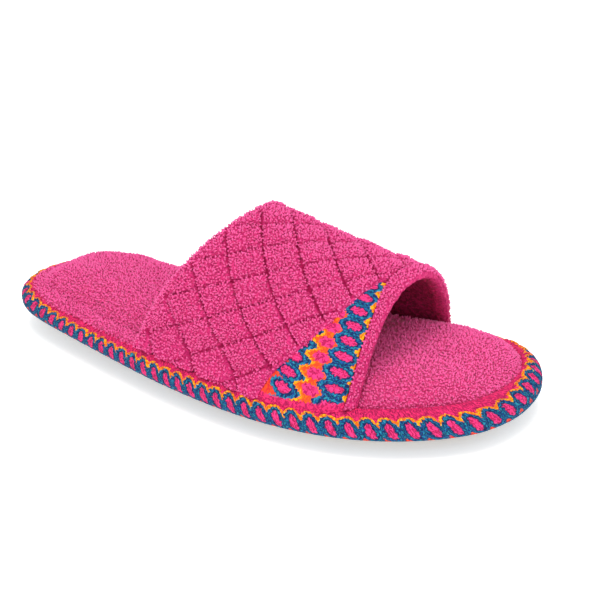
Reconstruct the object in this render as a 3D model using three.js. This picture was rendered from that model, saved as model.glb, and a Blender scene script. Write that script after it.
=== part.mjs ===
import * as THREE from 'three';

// Scuff slipper, right foot. Millimetres, heel at -X, toe at +X, medial side at +Y, floor at Z = 0.
// Every solid is worked out from the plan outline, the side heights and the vamp sections below.

// Driving sizes
const LENGTH = 262;
const WIDTH = 106.6;
const RIM_HEIGHT = 21;
const SOLE_TUCK = 22;
const BINDING_DEPTH = 8;
const CROWN = 14;
const PAD_EDGE_DROP = 2.7;
const PAD_TAPER = 5.6;
const INSTEP_HEIGHT = 77.4;
const VAMP_WALL = 4.6;
const HEM_WALL = 5.4;
const KNIT_WALL = 1.6;
const KNIT_SUNK = 0.5;
const GAP = 0.3;
const VAMP_INSET = 7;
const HEEL_TIP_Y = 1;
const TOE_TIP_Y = 3.7;

// Mesh densities
const SOLE_ROWS = 34;
const FOOTBED_COLUMNS = 14;
const GIRTH_STEPS = 36;
const PANEL_STEPS = 12;
const KNIT_STEPS = 4;
const HEM_STEPS = 4;
const CURVE_SAMPLES = 240;

// Plan outline of the binding: share of LENGTH, then half widths as shares of WIDTH
const OUTLINE = [
  { at: 0.011, lateral: 0.106, medial: 0.129 },
  { at: 0.031, lateral: 0.169, medial: 0.200 },
  { at: 0.061, lateral: 0.223, medial: 0.263 },
  { at: 0.107, lateral: 0.267, medial: 0.307 },
  { at: 0.172, lateral: 0.310, medial: 0.322 },
  { at: 0.248, lateral: 0.357, medial: 0.313 },
  { at: 0.344, lateral: 0.412, medial: 0.296 },
  { at: 0.439, lateral: 0.460, medial: 0.300 },
  { at: 0.534, lateral: 0.496, medial: 0.335 },
  { at: 0.611, lateral: 0.514, medial: 0.379 },
  { at: 0.687, lateral: 0.515, medial: 0.423 },
  { at: 0.763, lateral: 0.492, medial: 0.463 },
  { at: 0.832, lateral: 0.444, medial: 0.483 },
  { at: 0.889, lateral: 0.376, medial: 0.467 },
  { at: 0.935, lateral: 0.293, medial: 0.403 },
  { at: 0.966, lateral: 0.213, medial: 0.316 },
  { at: 0.987, lateral: 0.129, medial: 0.215 },
];

// Side heights as shares of RIM_HEIGHT: underside of the outsole, the seat where it meets the binding,
// and the rim, the top of the binding
const SIDE = [
  { at: 0.00, under: 0.055, seat: 0.430, rim: 0.957 },
  { at: 0.06, under: 0.000, seat: 0.425, rim: 0.955 },
  { at: 0.30, under: 0.000, seat: 0.390, rim: 0.945 },
  { at: 0.42, under: 0.050, seat: 0.360, rim: 0.930 },
  { at: 0.54, under: 0.000, seat: 0.342, rim: 0.912 },
  { at: 0.78, under: 0.000, seat: 0.325, rim: 0.900 },
  { at: 0.90, under: 0.055, seat: 0.338, rim: 0.948 },
  { at: 1.00, under: 0.165, seat: 0.362, rim: 0.995 },
];

// Outsole side wall, floor to binding: inset from the outline as a share of SOLE_TUCK, share of its height
const SOLE_WALL = [
  { inset: 1.00, rise: 0.00 },
  { inset: 0.85, rise: 0.05 },
  { inset: 0.70, rise: 0.20 },
  { inset: 0.60, rise: 0.44 },
  { inset: 0.54, rise: 0.72 },
  { inset: 0.51, rise: 1.00 },
];

// Binding section, underside round the outer bulge to the top band and down inside to its foot
// between outsole and footbed:
// inset as a share of BINDING_DEPTH, rise as a share of the way from the seat to the rim
const BINDING_SECTION = [
  { inset: 1.60, rise: 0.00 },
  { inset: 0.95, rise: 0.00 },
  { inset: 0.45, rise: 0.00 },
  { inset: 0.17, rise: 0.08 },
  { inset: 0.03, rise: 0.26 },
  { inset: 0.00, rise: 0.47 },
  { inset: 0.04, rise: 0.60 },
  { inset: 0.15, rise: 0.73 },
  { inset: 0.34, rise: 0.86 },
  { inset: 0.60, rise: 0.96 },
  { inset: 0.88, rise: 1.00 },
  { inset: 1.00, rise: 0.92 },
  { inset: 1.00, rise: 0.70 },
  { inset: 1.62, rise: 0.06 },
];

// Vamp cross sections, rear opening to toe opening: stations of both feet and the crest as shares of
// LENGTH, the crest's side shift as a share of WIDTH, its height as a share of INSTEP_HEIGHT, then
// fullness powers of the sides and the crown of the arch, and the power of its lean
const VAMP = [
  { lateralFoot: 0.371, medialFoot: 0.397, crestAt: 0.524, crestY: 0.003, crest: 1.000,
    lateralFull: 2.52, medialFull: 2.43, crownFull: 2.69, lean: 1.35 },
  { lateralFoot: 0.822, medialFoot: 0.768, crestAt: 0.827, crestY: 0.000, crest: 0.805,
    lateralFull: 2.15, medialFull: 2.22, crownFull: 1.00, lean: 0.89 },
];
const CREST_DIP = 1.5;

// Front edge of the quilted panel on the lateral side, and the rear edge of the toe hem:
// share of the girth from the lateral foot, share of the vamp from rear to toe
const PANEL_EDGE = [
  { girth: 0.000, along: 0.642 },
  { girth: 0.062, along: 0.662 },
  { girth: 0.112, along: 0.700 },
  { girth: 0.162, along: 0.736 },
  { girth: 0.250, along: 0.796 },
  { girth: 0.325, along: 0.836 },
  { girth: 0.388, along: 0.866 },
  { girth: 0.430, along: 0.895 },
];
const HEM_EDGE = [
  { girth: 0.000, along: 0.962 },
  { girth: 0.162, along: 0.957 },
  { girth: 0.312, along: 0.942 },
  { girth: 0.430, along: 0.910 },
  { girth: 0.600, along: 0.912 },
  { girth: 1.000, along: 0.940 },
];
const KNIT_TIP_GIRTH = 0.425;
const SEAM_ALONG = 0.008;
const SEAM_DEPTH = 1.2;
const PANEL_EDGE_ROLL = 0.6;

// A smooth curve through one column of a table, looked up by another column
function lookUp(table, keyName, name, key) {
  const last = table.length - 1;
  if (key <= table[0][keyName]) return table[0][name];
  if (key >= table[last][keyName]) return table[last][name];
  let i = 0;
  while (table[i + 1][keyName] < key) i += 1;
  const slope = (j) => {
    const a = table[Math.max(j - 1, 0)];
    const b = table[Math.min(j + 1, last)];
    return (b[name] - a[name]) / (b[keyName] - a[keyName]);
  };
  const p = table[i];
  const q = table[i + 1];
  const run = q[keyName] - p[keyName];
  const t = (key - p[keyName]) / run;
  const bend = p[name] === q[name] ? 0 : run;
  return p[name] * (1 + 2 * t) * (1 - t) ** 2 + q[name] * t * t * (3 - 2 * t)
    + bend * (slope(i) * t * (1 - t) ** 2 - slope(i + 1) * t * t * (1 - t));
}

// Plan outline: one closed curve through both tips and the table's points
const outlinePoints = [new THREE.Vector3(0, HEEL_TIP_Y, 0)];
OUTLINE.forEach((row) => {
  outlinePoints.push(new THREE.Vector3(row.at * LENGTH, -row.lateral * WIDTH, 0));
});
outlinePoints.push(new THREE.Vector3(LENGTH, TOE_TIP_Y, 0));
[...OUTLINE].reverse().forEach((row) => {
  outlinePoints.push(new THREE.Vector3(row.at * LENGTH, row.medial * WIDTH, 0));
});
const outlineCurve = new THREE.CatmullRomCurve3(outlinePoints, true, 'centripetal');

// Points at equal steps along one half of the outline, heel tip to toe tip, with outward normals
function halfOutline(from, to, steps) {
  const fine = [];
  let walked = 0;
  for (let i = 0; i <= CURVE_SAMPLES; i += 1) {
    const u = from + (to - from) * i / CURVE_SAMPLES;
    const p = outlineCurve.getPoint(u);
    const t = outlineCurve.getTangent(u % 1);
    if (i > 0) walked += p.distanceTo(fine[i - 1].p);
    fine.push({ p, nx: t.y, ny: -t.x, walked });
  }
  const points = [];
  let j = 0;
  for (let i = 0; i <= steps; i += 1) {
    const goal = walked * i / steps;
    while (j < CURVE_SAMPLES - 1 && fine[j + 1].walked < goal) j += 1;
    const a = fine[j];
    const b = fine[j + 1];
    const t = Math.min(1, (goal - a.walked) / (b.walked - a.walked));
    points.push({
      x: a.p.x + (b.p.x - a.p.x) * t,
      y: a.p.y + (b.p.y - a.p.y) * t,
      nx: a.nx + (b.nx - a.nx) * t,
      ny: a.ny + (b.ny - a.ny) * t,
    });
  }
  return points;
}

const lateralHalf = halfOutline(0, 0.5, SOLE_ROWS);
const medialHalf = halfOutline(1, 0.5, SOLE_ROWS);
const ring = [...lateralHalf, ...medialHalf.slice(1, -1).reverse()];

// Half width of the outline at one station, moved in square to the edge
const fineLateral = halfOutline(0, 0.5, CURVE_SAMPLES);
const fineMedial = halfOutline(1, 0.5, CURVE_SAMPLES);
function edgeY(half, x, inset) {
  let i = 0;
  const at = (j) => half[j].x - half[j].nx * inset;
  while (i < half.length - 2 && at(i + 1) < x) i += 1;
  const t = Math.min(1, Math.max(0, (x - at(i)) / (at(i + 1) - at(i))));
  const y = (j) => half[j].y - half[j].ny * inset;
  return y(i) + (y(i + 1) - y(i)) * t;
}

const underside = (x) => RIM_HEIGHT * lookUp(SIDE, 'at', 'under', x / LENGTH);
const seat = (x) => RIM_HEIGHT * lookUp(SIDE, 'at', 'seat', x / LENGTH);
const rim = (x) => RIM_HEIGHT * lookUp(SIDE, 'at', 'rim', x / LENGTH);

// The frame's Y zero is the middle of the outline's width
const widths = [...fineLateral, ...fineMedial].map((p) => p.y);
const centreY = (Math.min(...widths) + Math.max(...widths)) / 2;

// Closed solid from vertices and triangles
const slipper = new THREE.Group();
function addSolid(name, vertices, triangles, look) {
  const geometry = new THREE.BufferGeometry();
  const placed = vertices.flatMap((v) => [v[0] - LENGTH / 2, v[1] - centreY, v[2]]);
  geometry.setAttribute('position', new THREE.Float32BufferAttribute(placed, 3));
  geometry.setIndex(triangles);
  geometry.computeVertexNormals();
  const mesh = new THREE.Mesh(geometry, new THREE.MeshStandardMaterial(look));
  mesh.name = name;
  slipper.add(mesh);
}

// Quads between two rows of vertex numbers, wound so that the first row lies on the left
function stitch(triangles, rowA, rowB, closed) {
  const count = closed ? rowA.length : rowA.length - 1;
  for (let i = 0; i < count; i += 1) {
    const j = (i + 1) % rowA.length;
    if (rowA[i] !== rowA[j]) triangles.push(rowA[i], rowA[j], rowB[j]);
    if (rowB[i] !== rowB[j]) triangles.push(rowA[i], rowB[j], rowB[i]);
  }
}

// Outsole: rings up the side wall, closed by strips across from lateral to medial
function buildOutsole() {
  const vertices = [];
  const triangles = [];
  const rows = SOLE_WALL.map(({ inset, rise }) => ring.map((p) => {
    const d = inset * SOLE_TUCK;
    const x = p.x - p.nx * d;
    const low = underside(x);
    vertices.push([x, p.y - p.ny * d, low + (seat(x) - low) * rise]);
    return vertices.length - 1;
  }));
  for (let i = 0; i + 1 < rows.length; i += 1) stitch(triangles, rows[i + 1], rows[i], true);
  const across = (row, k) => [row[k], row[(2 * SOLE_ROWS - k) % (2 * SOLE_ROWS)]];
  const top = rows[rows.length - 1];
  for (let k = 0; k < SOLE_ROWS; k += 1) {
    stitch(triangles, across(top, k), across(top, k + 1), false);
    stitch(triangles, across(rows[0], k + 1), across(rows[0], k), false);
  }
  addSolid('outsole', vertices, triangles.reverse(), { color: 0x6f6660, roughness: 0.7, metalness: 0 });
}

// Binding: its section swept round the outline
function buildBinding() {
  const vertices = [];
  const triangles = [];
  const rows = BINDING_SECTION.map(({ inset, rise }) => ring.map((p) => {
    const d = inset * BINDING_DEPTH;
    const x = p.x - p.nx * d;
    const low = seat(x) + GAP;
    vertices.push([x, p.y - p.ny * d, low + (rim(x) - low) * rise]);
    return vertices.length - 1;
  }));
  rows.forEach((row, i) => stitch(triangles, rows[(i + 1) % rows.length], row, true));
  addSolid('binding', vertices, triangles.reverse(), { color: 0x2a6f9e, roughness: 0.85, metalness: 0 });
}

// Footbed: its top is a padded crown that falls to the binding on every side, and its lower edge
// lies PAD_TAPER further in, beside the foot of the binding
const FOOTBED_INSET = BINDING_DEPTH + GAP;
const CROWN_SIDE_POWER = 3.5;
const CROWN_END_POWER = 8;
function footbedTop(x, y) {
  const lateral = edgeY(fineLateral, x, FOOTBED_INSET);
  const medial = edgeY(fineMedial, x, FOOTBED_INSET);
  const across = Math.min(1, Math.abs(2 * (y - lateral) / Math.max(medial - lateral, 1) - 1));
  const along = Math.min(1, Math.abs((2 * x - LENGTH) / (LENGTH - 2 * FOOTBED_INSET)));
  const crown = CROWN * (1 - across ** CROWN_SIDE_POWER) * (1 - along ** CROWN_END_POWER);
  return rim(x) - PAD_EDGE_DROP + crown;
}

function buildFootbed() {
  const vertices = [];
  const triangles = [];
  const inside = (p, inset) => [p.x - p.nx * inset, p.y - p.ny * inset];
  const lows = [];
  const tops = [];
  for (let k = 0; k <= SOLE_ROWS; k += 1) {
    const [ax, ay] = inside(lateralHalf[k], FOOTBED_INSET);
    const [bx, by] = inside(medialHalf[k], FOOTBED_INSET);
    const tip = k === 0 || k === SOLE_ROWS;
    const top = [];
    for (let j = 0; j <= FOOTBED_COLUMNS; j += 1) {
      const share = j / FOOTBED_COLUMNS;
      if (!tip || j === 0) {
        const x = ax + (bx - ax) * share;
        const y = ay + (by - ay) * share;
        vertices.push([x, y, footbedTop(x, y)]);
      }
      top.push(vertices.length - 1);
    }
    const [cx, cy] = inside(lateralHalf[k], FOOTBED_INSET + PAD_TAPER);
    const [dx, dy] = inside(medialHalf[k], FOOTBED_INSET + PAD_TAPER);
    vertices.push([cx, cy, seat(cx) + GAP]);
    const low = [vertices.length - 1];
    if (!tip) vertices.push([dx, dy, seat(dx) + GAP]);
    low.push(vertices.length - 1);
    tops.push(top);
    lows.push(low);
  }
  for (let k = 0; k < SOLE_ROWS; k += 1) {
    stitch(triangles, tops[k + 1], tops[k], false);
    stitch(triangles, lows[k], lows[k + 1], false);
    const last = FOOTBED_COLUMNS;
    stitch(triangles, [lows[k][0], lows[k + 1][0]], [tops[k][0], tops[k + 1][0]], false);
    stitch(triangles, [tops[k][last], tops[k + 1][last]], [lows[k][1], lows[k + 1][1]], false);
  }
  addSolid('footbed', vertices, triangles, { color: 0xd94a8c, roughness: 0.95, metalness: 0 });
}

// Outer surface of the vamp: an arch over the foot at each share from rear to toe
const archCache = new Map();
function arch(along) {
  const key = along.toFixed(5);
  if (archCache.has(key)) return archCache.get(key);
  const row = {};
  Object.keys(VAMP[0]).forEach((name) => {
    row[name] = VAMP[0][name] + (VAMP[1][name] - VAMP[0][name]) * along;
  });
  const fine = [];
  let walked = 0;
  for (let i = 0; i <= CURVE_SAMPLES; i += 1) {
    const turn = Math.PI * i / CURVE_SAMPLES;
    const lateral = turn < Math.PI / 2;
    const wide = Math.abs(Math.cos(turn)) ** (2 / (lateral ? row.lateralFull : row.medialFull));
    const high = Math.sin(turn) < 1e-9 ? 0 : Math.sin(turn) ** (2 / row.crownFull);
    const footX = LENGTH * (lateral ? row.lateralFoot : row.medialFoot);
    const footY = edgeY(lateral ? fineLateral : fineMedial, footX, 0) + (lateral ? 1 : -1) * VAMP_INSET;
    const footZ = rim(footX) + GAP;
    const x = footX + (row.crestAt * LENGTH - footX) * high ** row.lean;
    const y = row.crestY * WIDTH + (footY - row.crestY * WIDTH) * wide;
    const z = footZ + (row.crest * INSTEP_HEIGHT - footZ) * high
      - 4 * along * (1 - along) * CREST_DIP * Math.sin(turn);
    const p = new THREE.Vector3(x, y, z);
    if (i > 0) walked += p.distanceTo(fine[i - 1].p);
    fine.push({ p, walked });
  }
  archCache.set(key, fine);
  return fine;
}

function vampPoint(along, girth) {
  const fine = arch(along);
  const goal = Math.min(1, Math.max(0, girth)) * fine[CURVE_SAMPLES].walked;
  let i = 0;
  while (i < CURVE_SAMPLES - 1 && fine[i + 1].walked < goal) i += 1;
  const t = (goal - fine[i].walked) / (fine[i + 1].walked - fine[i].walked);
  return fine[i].p.clone().lerp(fine[i + 1].p, t);
}

function vampNormal(along, girth) {
  const da = 0.01;
  const a0 = Math.max(0, along - da);
  const a1 = Math.min(1, along + da);
  const g0 = Math.max(0, girth - da);
  const g1 = Math.min(1, girth + da);
  const lengthwise = vampPoint(a1, girth).sub(vampPoint(a0, girth));
  const round = vampPoint(along, g1).sub(vampPoint(along, g0));
  return lengthwise.cross(round).normalize();
}

// A point under the vamp's outer surface by a depth in mm, kept clear above the footbed
const FOOT_CLEAR = 0.35;
function vampLayer(along, girth, depth) {
  const p = vampPoint(along, girth);
  p.addScaledVector(vampNormal(along, girth), -depth);
  const clear = footbedTop(p.x, p.y) + FOOT_CLEAR;
  return [p.x, p.y, Math.max(p.z, clear)];
}

const panelEdge = (girth) => lookUp(PANEL_EDGE, 'girth', 'along', girth);
const hemEdge = (girth) => lookUp(HEM_EDGE, 'girth', 'along', girth);

// The recess for the knit runs between the two edges and closes to a seam above its tip
function recessRear(girth) {
  return girth < KNIT_TIP_GIRTH ? panelEdge(girth) : hemEdge(girth) - SEAM_ALONG;
}

// Outer profile of the vamp at one girth: shares from rear to toe, each with its depth in mm
function outerProfile(girth) {
  const rear = recessRear(girth);
  const hem = hemEdge(girth);
  const knit = girth < KNIT_TIP_GIRTH;
  const recess = knit ? KNIT_WALL + KNIT_SUNK + GAP : SEAM_DEPTH;
  const across = vampPoint(1, girth).distanceTo(vampPoint(0, girth));
  const profile = [
    [0, 0.5 * VAMP_WALL],
    [0.07 * VAMP_WALL / across, 0.25 * VAMP_WALL],
    [0.25 * VAMP_WALL / across, 0.07 * VAMP_WALL],
  ];
  const start = 0.5 * VAMP_WALL / across;
  const stop = rear - 1.6 / across;
  for (let i = 0; i <= PANEL_STEPS; i += 1) profile.push([start + (stop - start) * i / PANEL_STEPS, 0]);
  profile.push([rear, PANEL_EDGE_ROLL], [rear, recess]);
  for (let i = 1; i < KNIT_STEPS; i += 1) profile.push([rear + (hem - rear) * i / KNIT_STEPS, recess]);
  profile.push([hem, recess], [hem, 0.5]);
  const lift = VAMP_WALL - HEM_WALL;
  for (let i = 1; i < HEM_STEPS; i += 1) {
    const t = i / HEM_STEPS;
    profile.push([hem + (1 - 0.25 * HEM_WALL / across - hem) * t, lift * Math.sin(Math.PI * t)]);
  }
  profile.push([1 - 0.25 * HEM_WALL / across, 0.05 * HEM_WALL]);
  profile.push([1 - 0.07 * HEM_WALL / across, 0.22 * HEM_WALL]);
  profile.push([1, 0.5 * HEM_WALL]);
  return profile;
}

// Inner profile, toe back to rear, with the same rounded edges
function innerProfile(girth) {
  const across = vampPoint(1, girth).distanceTo(vampPoint(0, girth));
  const profile = [
    [1 - 0.07 * HEM_WALL / across, 0.78 * HEM_WALL],
    [1 - 0.25 * HEM_WALL / across, 0.98 * HEM_WALL],
  ];
  for (let i = 0; i <= HEM_STEPS + 2; i += 1) {
    const t = 1 - i / (HEM_STEPS + 2);
    profile.push([0.03 + 0.90 * t, VAMP_WALL]);
  }
  profile.push([0.25 * VAMP_WALL / across, 0.93 * VAMP_WALL]);
  profile.push([0.07 * VAMP_WALL / across, 0.75 * VAMP_WALL]);
  return profile;
}

// Upper: both profiles make one loop at each girth, and the loops are closed at the two feet
function buildUpper() {
  const vertices = [];
  const triangles = [];
  const girths = [];
  for (let i = 0; i <= GIRTH_STEPS; i += 1) girths.push(i / GIRTH_STEPS);
  girths.push(KNIT_TIP_GIRTH - 0.002, KNIT_TIP_GIRTH + 0.002);
  girths.sort((a, b) => a - b);
  const loops = girths.map((girth) => {
    const outer = outerProfile(girth).map(([along, depth]) => vampLayer(along, girth, depth));
    const inner = innerProfile(girth).map(([along, depth]) => vampLayer(along, girth, depth));
    return { outer: outer.length, numbers: [...outer, ...inner].map((v) => vertices.push(v) - 1) };
  });
  for (let i = 0; i + 1 < loops.length; i += 1) {
    stitch(triangles, loops[i].numbers, loops[i + 1].numbers, true);
  }
  [loops[0], loops[loops.length - 1]].forEach(({ outer, numbers }, end) => {
    const cap = zip(vertices, numbers.slice(0, outer), [numbers[0], ...numbers.slice(outer).reverse(), numbers[outer - 1]]);
    if (end === 0) cap.reverse();
    triangles.push(...cap);
  });
  addSolid('upper', vertices, triangles, { color: 0xe8559a, roughness: 0.95, metalness: 0 });
}

// Triangles between two chains of vertex numbers that share both ends, each step taking the nearer point
function zip(vertices, chainA, chainB) {
  const triangles = [];
  let i = 0;
  let j = 0;
  const gap = (a, b) => Math.hypot(...vertices[a].map((c, k) => c - vertices[b][k]));
  while (i < chainA.length - 1 || j < chainB.length - 1) {
    const stepA = i < chainA.length - 1 ? gap(chainA[i + 1], chainB[j]) : Infinity;
    const stepB = j < chainB.length - 1 ? gap(chainA[i], chainB[j + 1]) : Infinity;
    if (stepA <= stepB) {
      if (chainA[i + 1] !== chainB[j]) triangles.push(chainA[i], chainA[i + 1], chainB[j]);
      i += 1;
    } else {
      if (chainA[i] !== chainB[j + 1]) triangles.push(chainA[i], chainB[j + 1], chainB[j]);
      j += 1;
    }
  }
  const kept = [];
  for (let k = 0; k < triangles.length; k += 3) {
    const [a, b, c] = triangles.slice(k, k + 3);
    if (a !== b && b !== c && a !== c) kept.push(a, b, c);
  }
  return kept;
}

// Knit insert: a thin panel lying in the recess, 0.3 mm clear of it all round
function buildKnit() {
  const vertices = [];
  const triangles = [];
  const columns = KNIT_STEPS + 1;
  const rowsUp = 16;
  const tops = [];
  const lows = [];
  const tip = KNIT_TIP_GIRTH - 0.012;
  for (let k = 0; k <= rowsUp; k += 1) {
    const girth = tip * k / rowsUp;
    const across = vampPoint(1, girth).distanceTo(vampPoint(0, girth));
    const side = 1.3 * GAP / across;
    const from = panelEdge(girth) + 1.6 * side;
    const to = hemEdge(girth) - side;
    const row = (depth) => Array.from({ length: columns + 1 }, (_, j) => {
      const v = vampLayer(from + (to - from) * j / columns, girth, depth);
      return vertices.push(v) - 1;
    });
    tops.push(row(KNIT_SUNK));
    lows.push(row(KNIT_SUNK + KNIT_WALL));
  }
  const loop = (k) => [...tops[k], ...lows[k].slice().reverse()];
  for (let k = 0; k < rowsUp; k += 1) stitch(triangles, loop(k), loop(k + 1), true);
  stitch(triangles, tops[0].slice().reverse(), lows[0].slice().reverse(), false);
  stitch(triangles, tops[rowsUp], lows[rowsUp], false);
  addSolid('knit_insert', vertices, triangles, { color: 0xd0503c, roughness: 0.9, metalness: 0 });
}

buildOutsole();
buildBinding();
buildFootbed();
buildUpper();
buildKnit();

export default slipper;
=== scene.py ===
# %% [markdown]
# # Terry scuff slipper, right foot
# A lesson in cells. The packed solids are loaded as a fixed frame, and each soft piece is then made again
# as a finer surface in the same place. All shapes are numpy grids: a function of two numbers, or a profile
# carried round the sole. Lengths are in millimetres with the heel tip at x = 0, and only `place` turns
# them into the frame's metres.

# %% Load the frame
import math

import bmesh
import bpy
import numpy as np
from mathutils import Matrix, Vector


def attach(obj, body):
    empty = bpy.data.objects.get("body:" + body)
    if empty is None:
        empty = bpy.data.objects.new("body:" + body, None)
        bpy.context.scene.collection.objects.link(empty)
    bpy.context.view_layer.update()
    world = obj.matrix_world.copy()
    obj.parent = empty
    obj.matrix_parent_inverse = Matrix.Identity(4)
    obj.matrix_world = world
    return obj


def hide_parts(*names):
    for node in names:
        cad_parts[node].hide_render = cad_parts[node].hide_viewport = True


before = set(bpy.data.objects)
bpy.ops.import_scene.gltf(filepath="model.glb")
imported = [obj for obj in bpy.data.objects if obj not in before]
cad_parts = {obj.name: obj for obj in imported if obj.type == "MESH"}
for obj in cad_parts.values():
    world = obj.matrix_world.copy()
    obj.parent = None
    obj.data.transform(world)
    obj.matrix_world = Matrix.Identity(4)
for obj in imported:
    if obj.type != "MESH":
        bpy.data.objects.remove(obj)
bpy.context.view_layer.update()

# %% [markdown]
# ## Camera
# The angle was worked out from the equal repeats of the knit tape: a long lens, 22 degrees above the floor
# and 40 degrees round from the outer side, rolled by 3 degrees. The camera is made first, because all
# later choices are judged through it.

# %% Camera
CAMERA_AT = (0.6672, -0.7698, 0.4504)
CAMERA_FORWARD = Vector((-0.5922, 0.7106, -0.3798)).normalized()
CAMERA_ROLL = math.radians(3.02)
LENS = 155.94
SENSOR = 36
FAR_CLIP = 20

level = CAMERA_FORWARD.cross(Vector((0, 0, 1))).normalized()
upright = level.cross(CAMERA_FORWARD)
right = level * math.cos(CAMERA_ROLL) - upright * math.sin(CAMERA_ROLL)
up = upright * math.cos(CAMERA_ROLL) + level * math.sin(CAMERA_ROLL)
camera_data = bpy.data.cameras.new("camera")
camera_data.lens = LENS
camera_data.sensor_width = SENSOR
camera_data.clip_end = FAR_CLIP
camera = bpy.data.objects.new("camera", camera_data)
bpy.context.scene.collection.objects.link(camera)
turn = Matrix((right, up, -CAMERA_FORWARD)).transposed()
camera.matrix_world = Matrix.Translation(CAMERA_AT) @ turn.to_4x4()
bpy.context.scene.camera = camera
print("camera: lens %.0f mm, %.1f degrees down" % (LENS, math.degrees(math.asin(-CAMERA_FORWARD.z))))

# %% [markdown]
# ## Floor and light
# A plain pale floor and soft studio light: a bright even world, one large panel overhead, and a weaker one
# low at the front to lift the side wall. The floor glows a little, as a light table does, which keeps the
# shadow faint and close to the sole.

# %% Light
WORLD_STRENGTH = 0.85


def panel_light(name, at, aim, size, power):
    """One square softbox at a point in metres, turned to look at another point."""
    light = bpy.data.lights.new(name, "AREA")
    light.size = size
    light.energy = power
    lamp = bpy.data.objects.new(name, light)
    lamp.location = at
    lamp.rotation_euler = (Vector(aim) - Vector(at)).to_track_quat("-Z", "Y").to_euler()
    bpy.context.scene.collection.objects.link(lamp)


panel_light("softbox_high", at=(0.12, -0.10, 1.45), aim=(0, 0, 0.02), size=0.9, power=11)
panel_light("softbox_front", at=(0.9, -1.0, 0.45), aim=(0, 0, 0.03), size=1.4, power=9.5)

world = bpy.data.worlds.new("studio")
world.use_nodes = True
world.node_tree.nodes["Background"].inputs["Color"].default_value = (1, 1, 1, 1)
world.node_tree.nodes["Background"].inputs["Strength"].default_value = WORLD_STRENGTH
bpy.context.scene.world = world
bpy.context.scene.view_settings.view_transform = "Standard"

# %% Floor
FLOOR_HALF = 12.0
FLOOR_GLOW = 0.43

floor_mesh = bpy.data.meshes.new("floor")
floor_corners = [(-FLOOR_HALF, -FLOOR_HALF, 0), (FLOOR_HALF, -FLOOR_HALF, 0),
                 (FLOOR_HALF, FLOOR_HALF, 0), (-FLOOR_HALF, FLOOR_HALF, 0)]
floor_mesh.from_pydata(floor_corners, [], [(0, 1, 2, 3)])
floor = bpy.data.objects.new("floor", floor_mesh)
bpy.context.scene.collection.objects.link(floor)
floor_finish = bpy.data.materials.new("pale_floor")
floor_finish.use_nodes = True
floor_inputs = floor_finish.node_tree.nodes["Principled BSDF"].inputs
floor_inputs["Base Color"].default_value = (0.96, 0.945, 0.92, 1)
floor_inputs["Roughness"].default_value = 0.9
floor_inputs["Emission Color"].default_value = (1.0, 0.98, 0.95, 1)
floor_inputs["Emission Strength"].default_value = FLOOR_GLOW
floor_mesh.materials.append(floor_finish)
print("floor: %.0f m square, glow %.2f" % (2 * FLOOR_HALF, FLOOR_GLOW))

# %% [markdown]
# ## The last: outline, side heights and vamp sections
# The same named sizes and tables as the solids. The outline is one closed curve through measured half
# widths, the side table holds three heights, and the vamp is an arch that changes evenly from its rear
# edge to its toe edge.

# %% Sizes
MM = 0.001
LENGTH = 262.0
WIDTH = 106.6
RIM_HEIGHT = 21.0
SOLE_TUCK = 22.0
BINDING_DEPTH = 8.0
CROWN = 14.0
INSTEP_HEIGHT = 77.4
VAMP_WALL = 4.6
HEM_WALL = 5.4
KNIT_WALL = 1.6
VAMP_INSET = 7.0
HEEL_TIP_Y = 1.0
TOE_TIP_Y = 3.7
GAP = 0.3

# share of length, then lateral and medial half widths as shares of WIDTH
OUTLINE = np.array([
    (0.011, 0.106, 0.129), (0.031, 0.169, 0.200), (0.061, 0.223, 0.263), (0.107, 0.267, 0.307),
    (0.172, 0.310, 0.322), (0.248, 0.357, 0.313), (0.344, 0.412, 0.296), (0.439, 0.460, 0.300),
    (0.534, 0.496, 0.335), (0.611, 0.514, 0.379), (0.687, 0.515, 0.423), (0.763, 0.492, 0.463),
    (0.832, 0.444, 0.483), (0.889, 0.376, 0.467), (0.935, 0.293, 0.403), (0.966, 0.213, 0.316),
    (0.987, 0.129, 0.215)])
# share of length, then underside, seat and rim as shares of RIM_HEIGHT
SIDE = np.array([
    (0.00, 0.055, 0.430, 0.957), (0.06, 0.000, 0.425, 0.955), (0.30, 0.000, 0.390, 0.945),
    (0.42, 0.050, 0.360, 0.930), (0.54, 0.000, 0.342, 0.912), (0.78, 0.000, 0.325, 0.900),
    (0.90, 0.055, 0.338, 0.948), (1.00, 0.165, 0.362, 0.995)])
print("sizes: %.0f x %.1f x %.1f mm" % (LENGTH, WIDTH, INSTEP_HEIGHT))


# %% Curves through tables
def smooth_loop(points, per_span):
    """Closed centripetal curve: each span is a cubic between two points, and its end slopes come from
    the neighbours, weighted by the square roots of the distances."""
    p0, p1, p2, p3 = (np.roll(points, k, 0) for k in (1, 0, -1, -2))
    spans = ((p1, p0), (p2, p1), (p3, p2))
    d1, d2, d3 = (np.linalg.norm(a - b, axis=1)[:, None] ** 0.5 for a, b in spans)
    m1 = ((p1 - p0) / d1 - (p2 - p0) / (d1 + d2) + (p2 - p1) / d2) * d2
    m2 = ((p2 - p1) / d2 - (p3 - p1) / (d2 + d3) + (p3 - p2) / d3) * d2
    t = (np.arange(per_span) / per_span)[None, :, None]
    a, b, c, e = (x[:, None] for x in (p1, p2, m1, m2))
    blend = (2 * t**3 - 3 * t**2 + 1) * a + (t**3 - 2 * t**2 + t) * c
    return (blend + (3 * t**2 - 2 * t**3) * b + (t**3 - t**2) * e).reshape(-1, points.shape[1])


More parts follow.
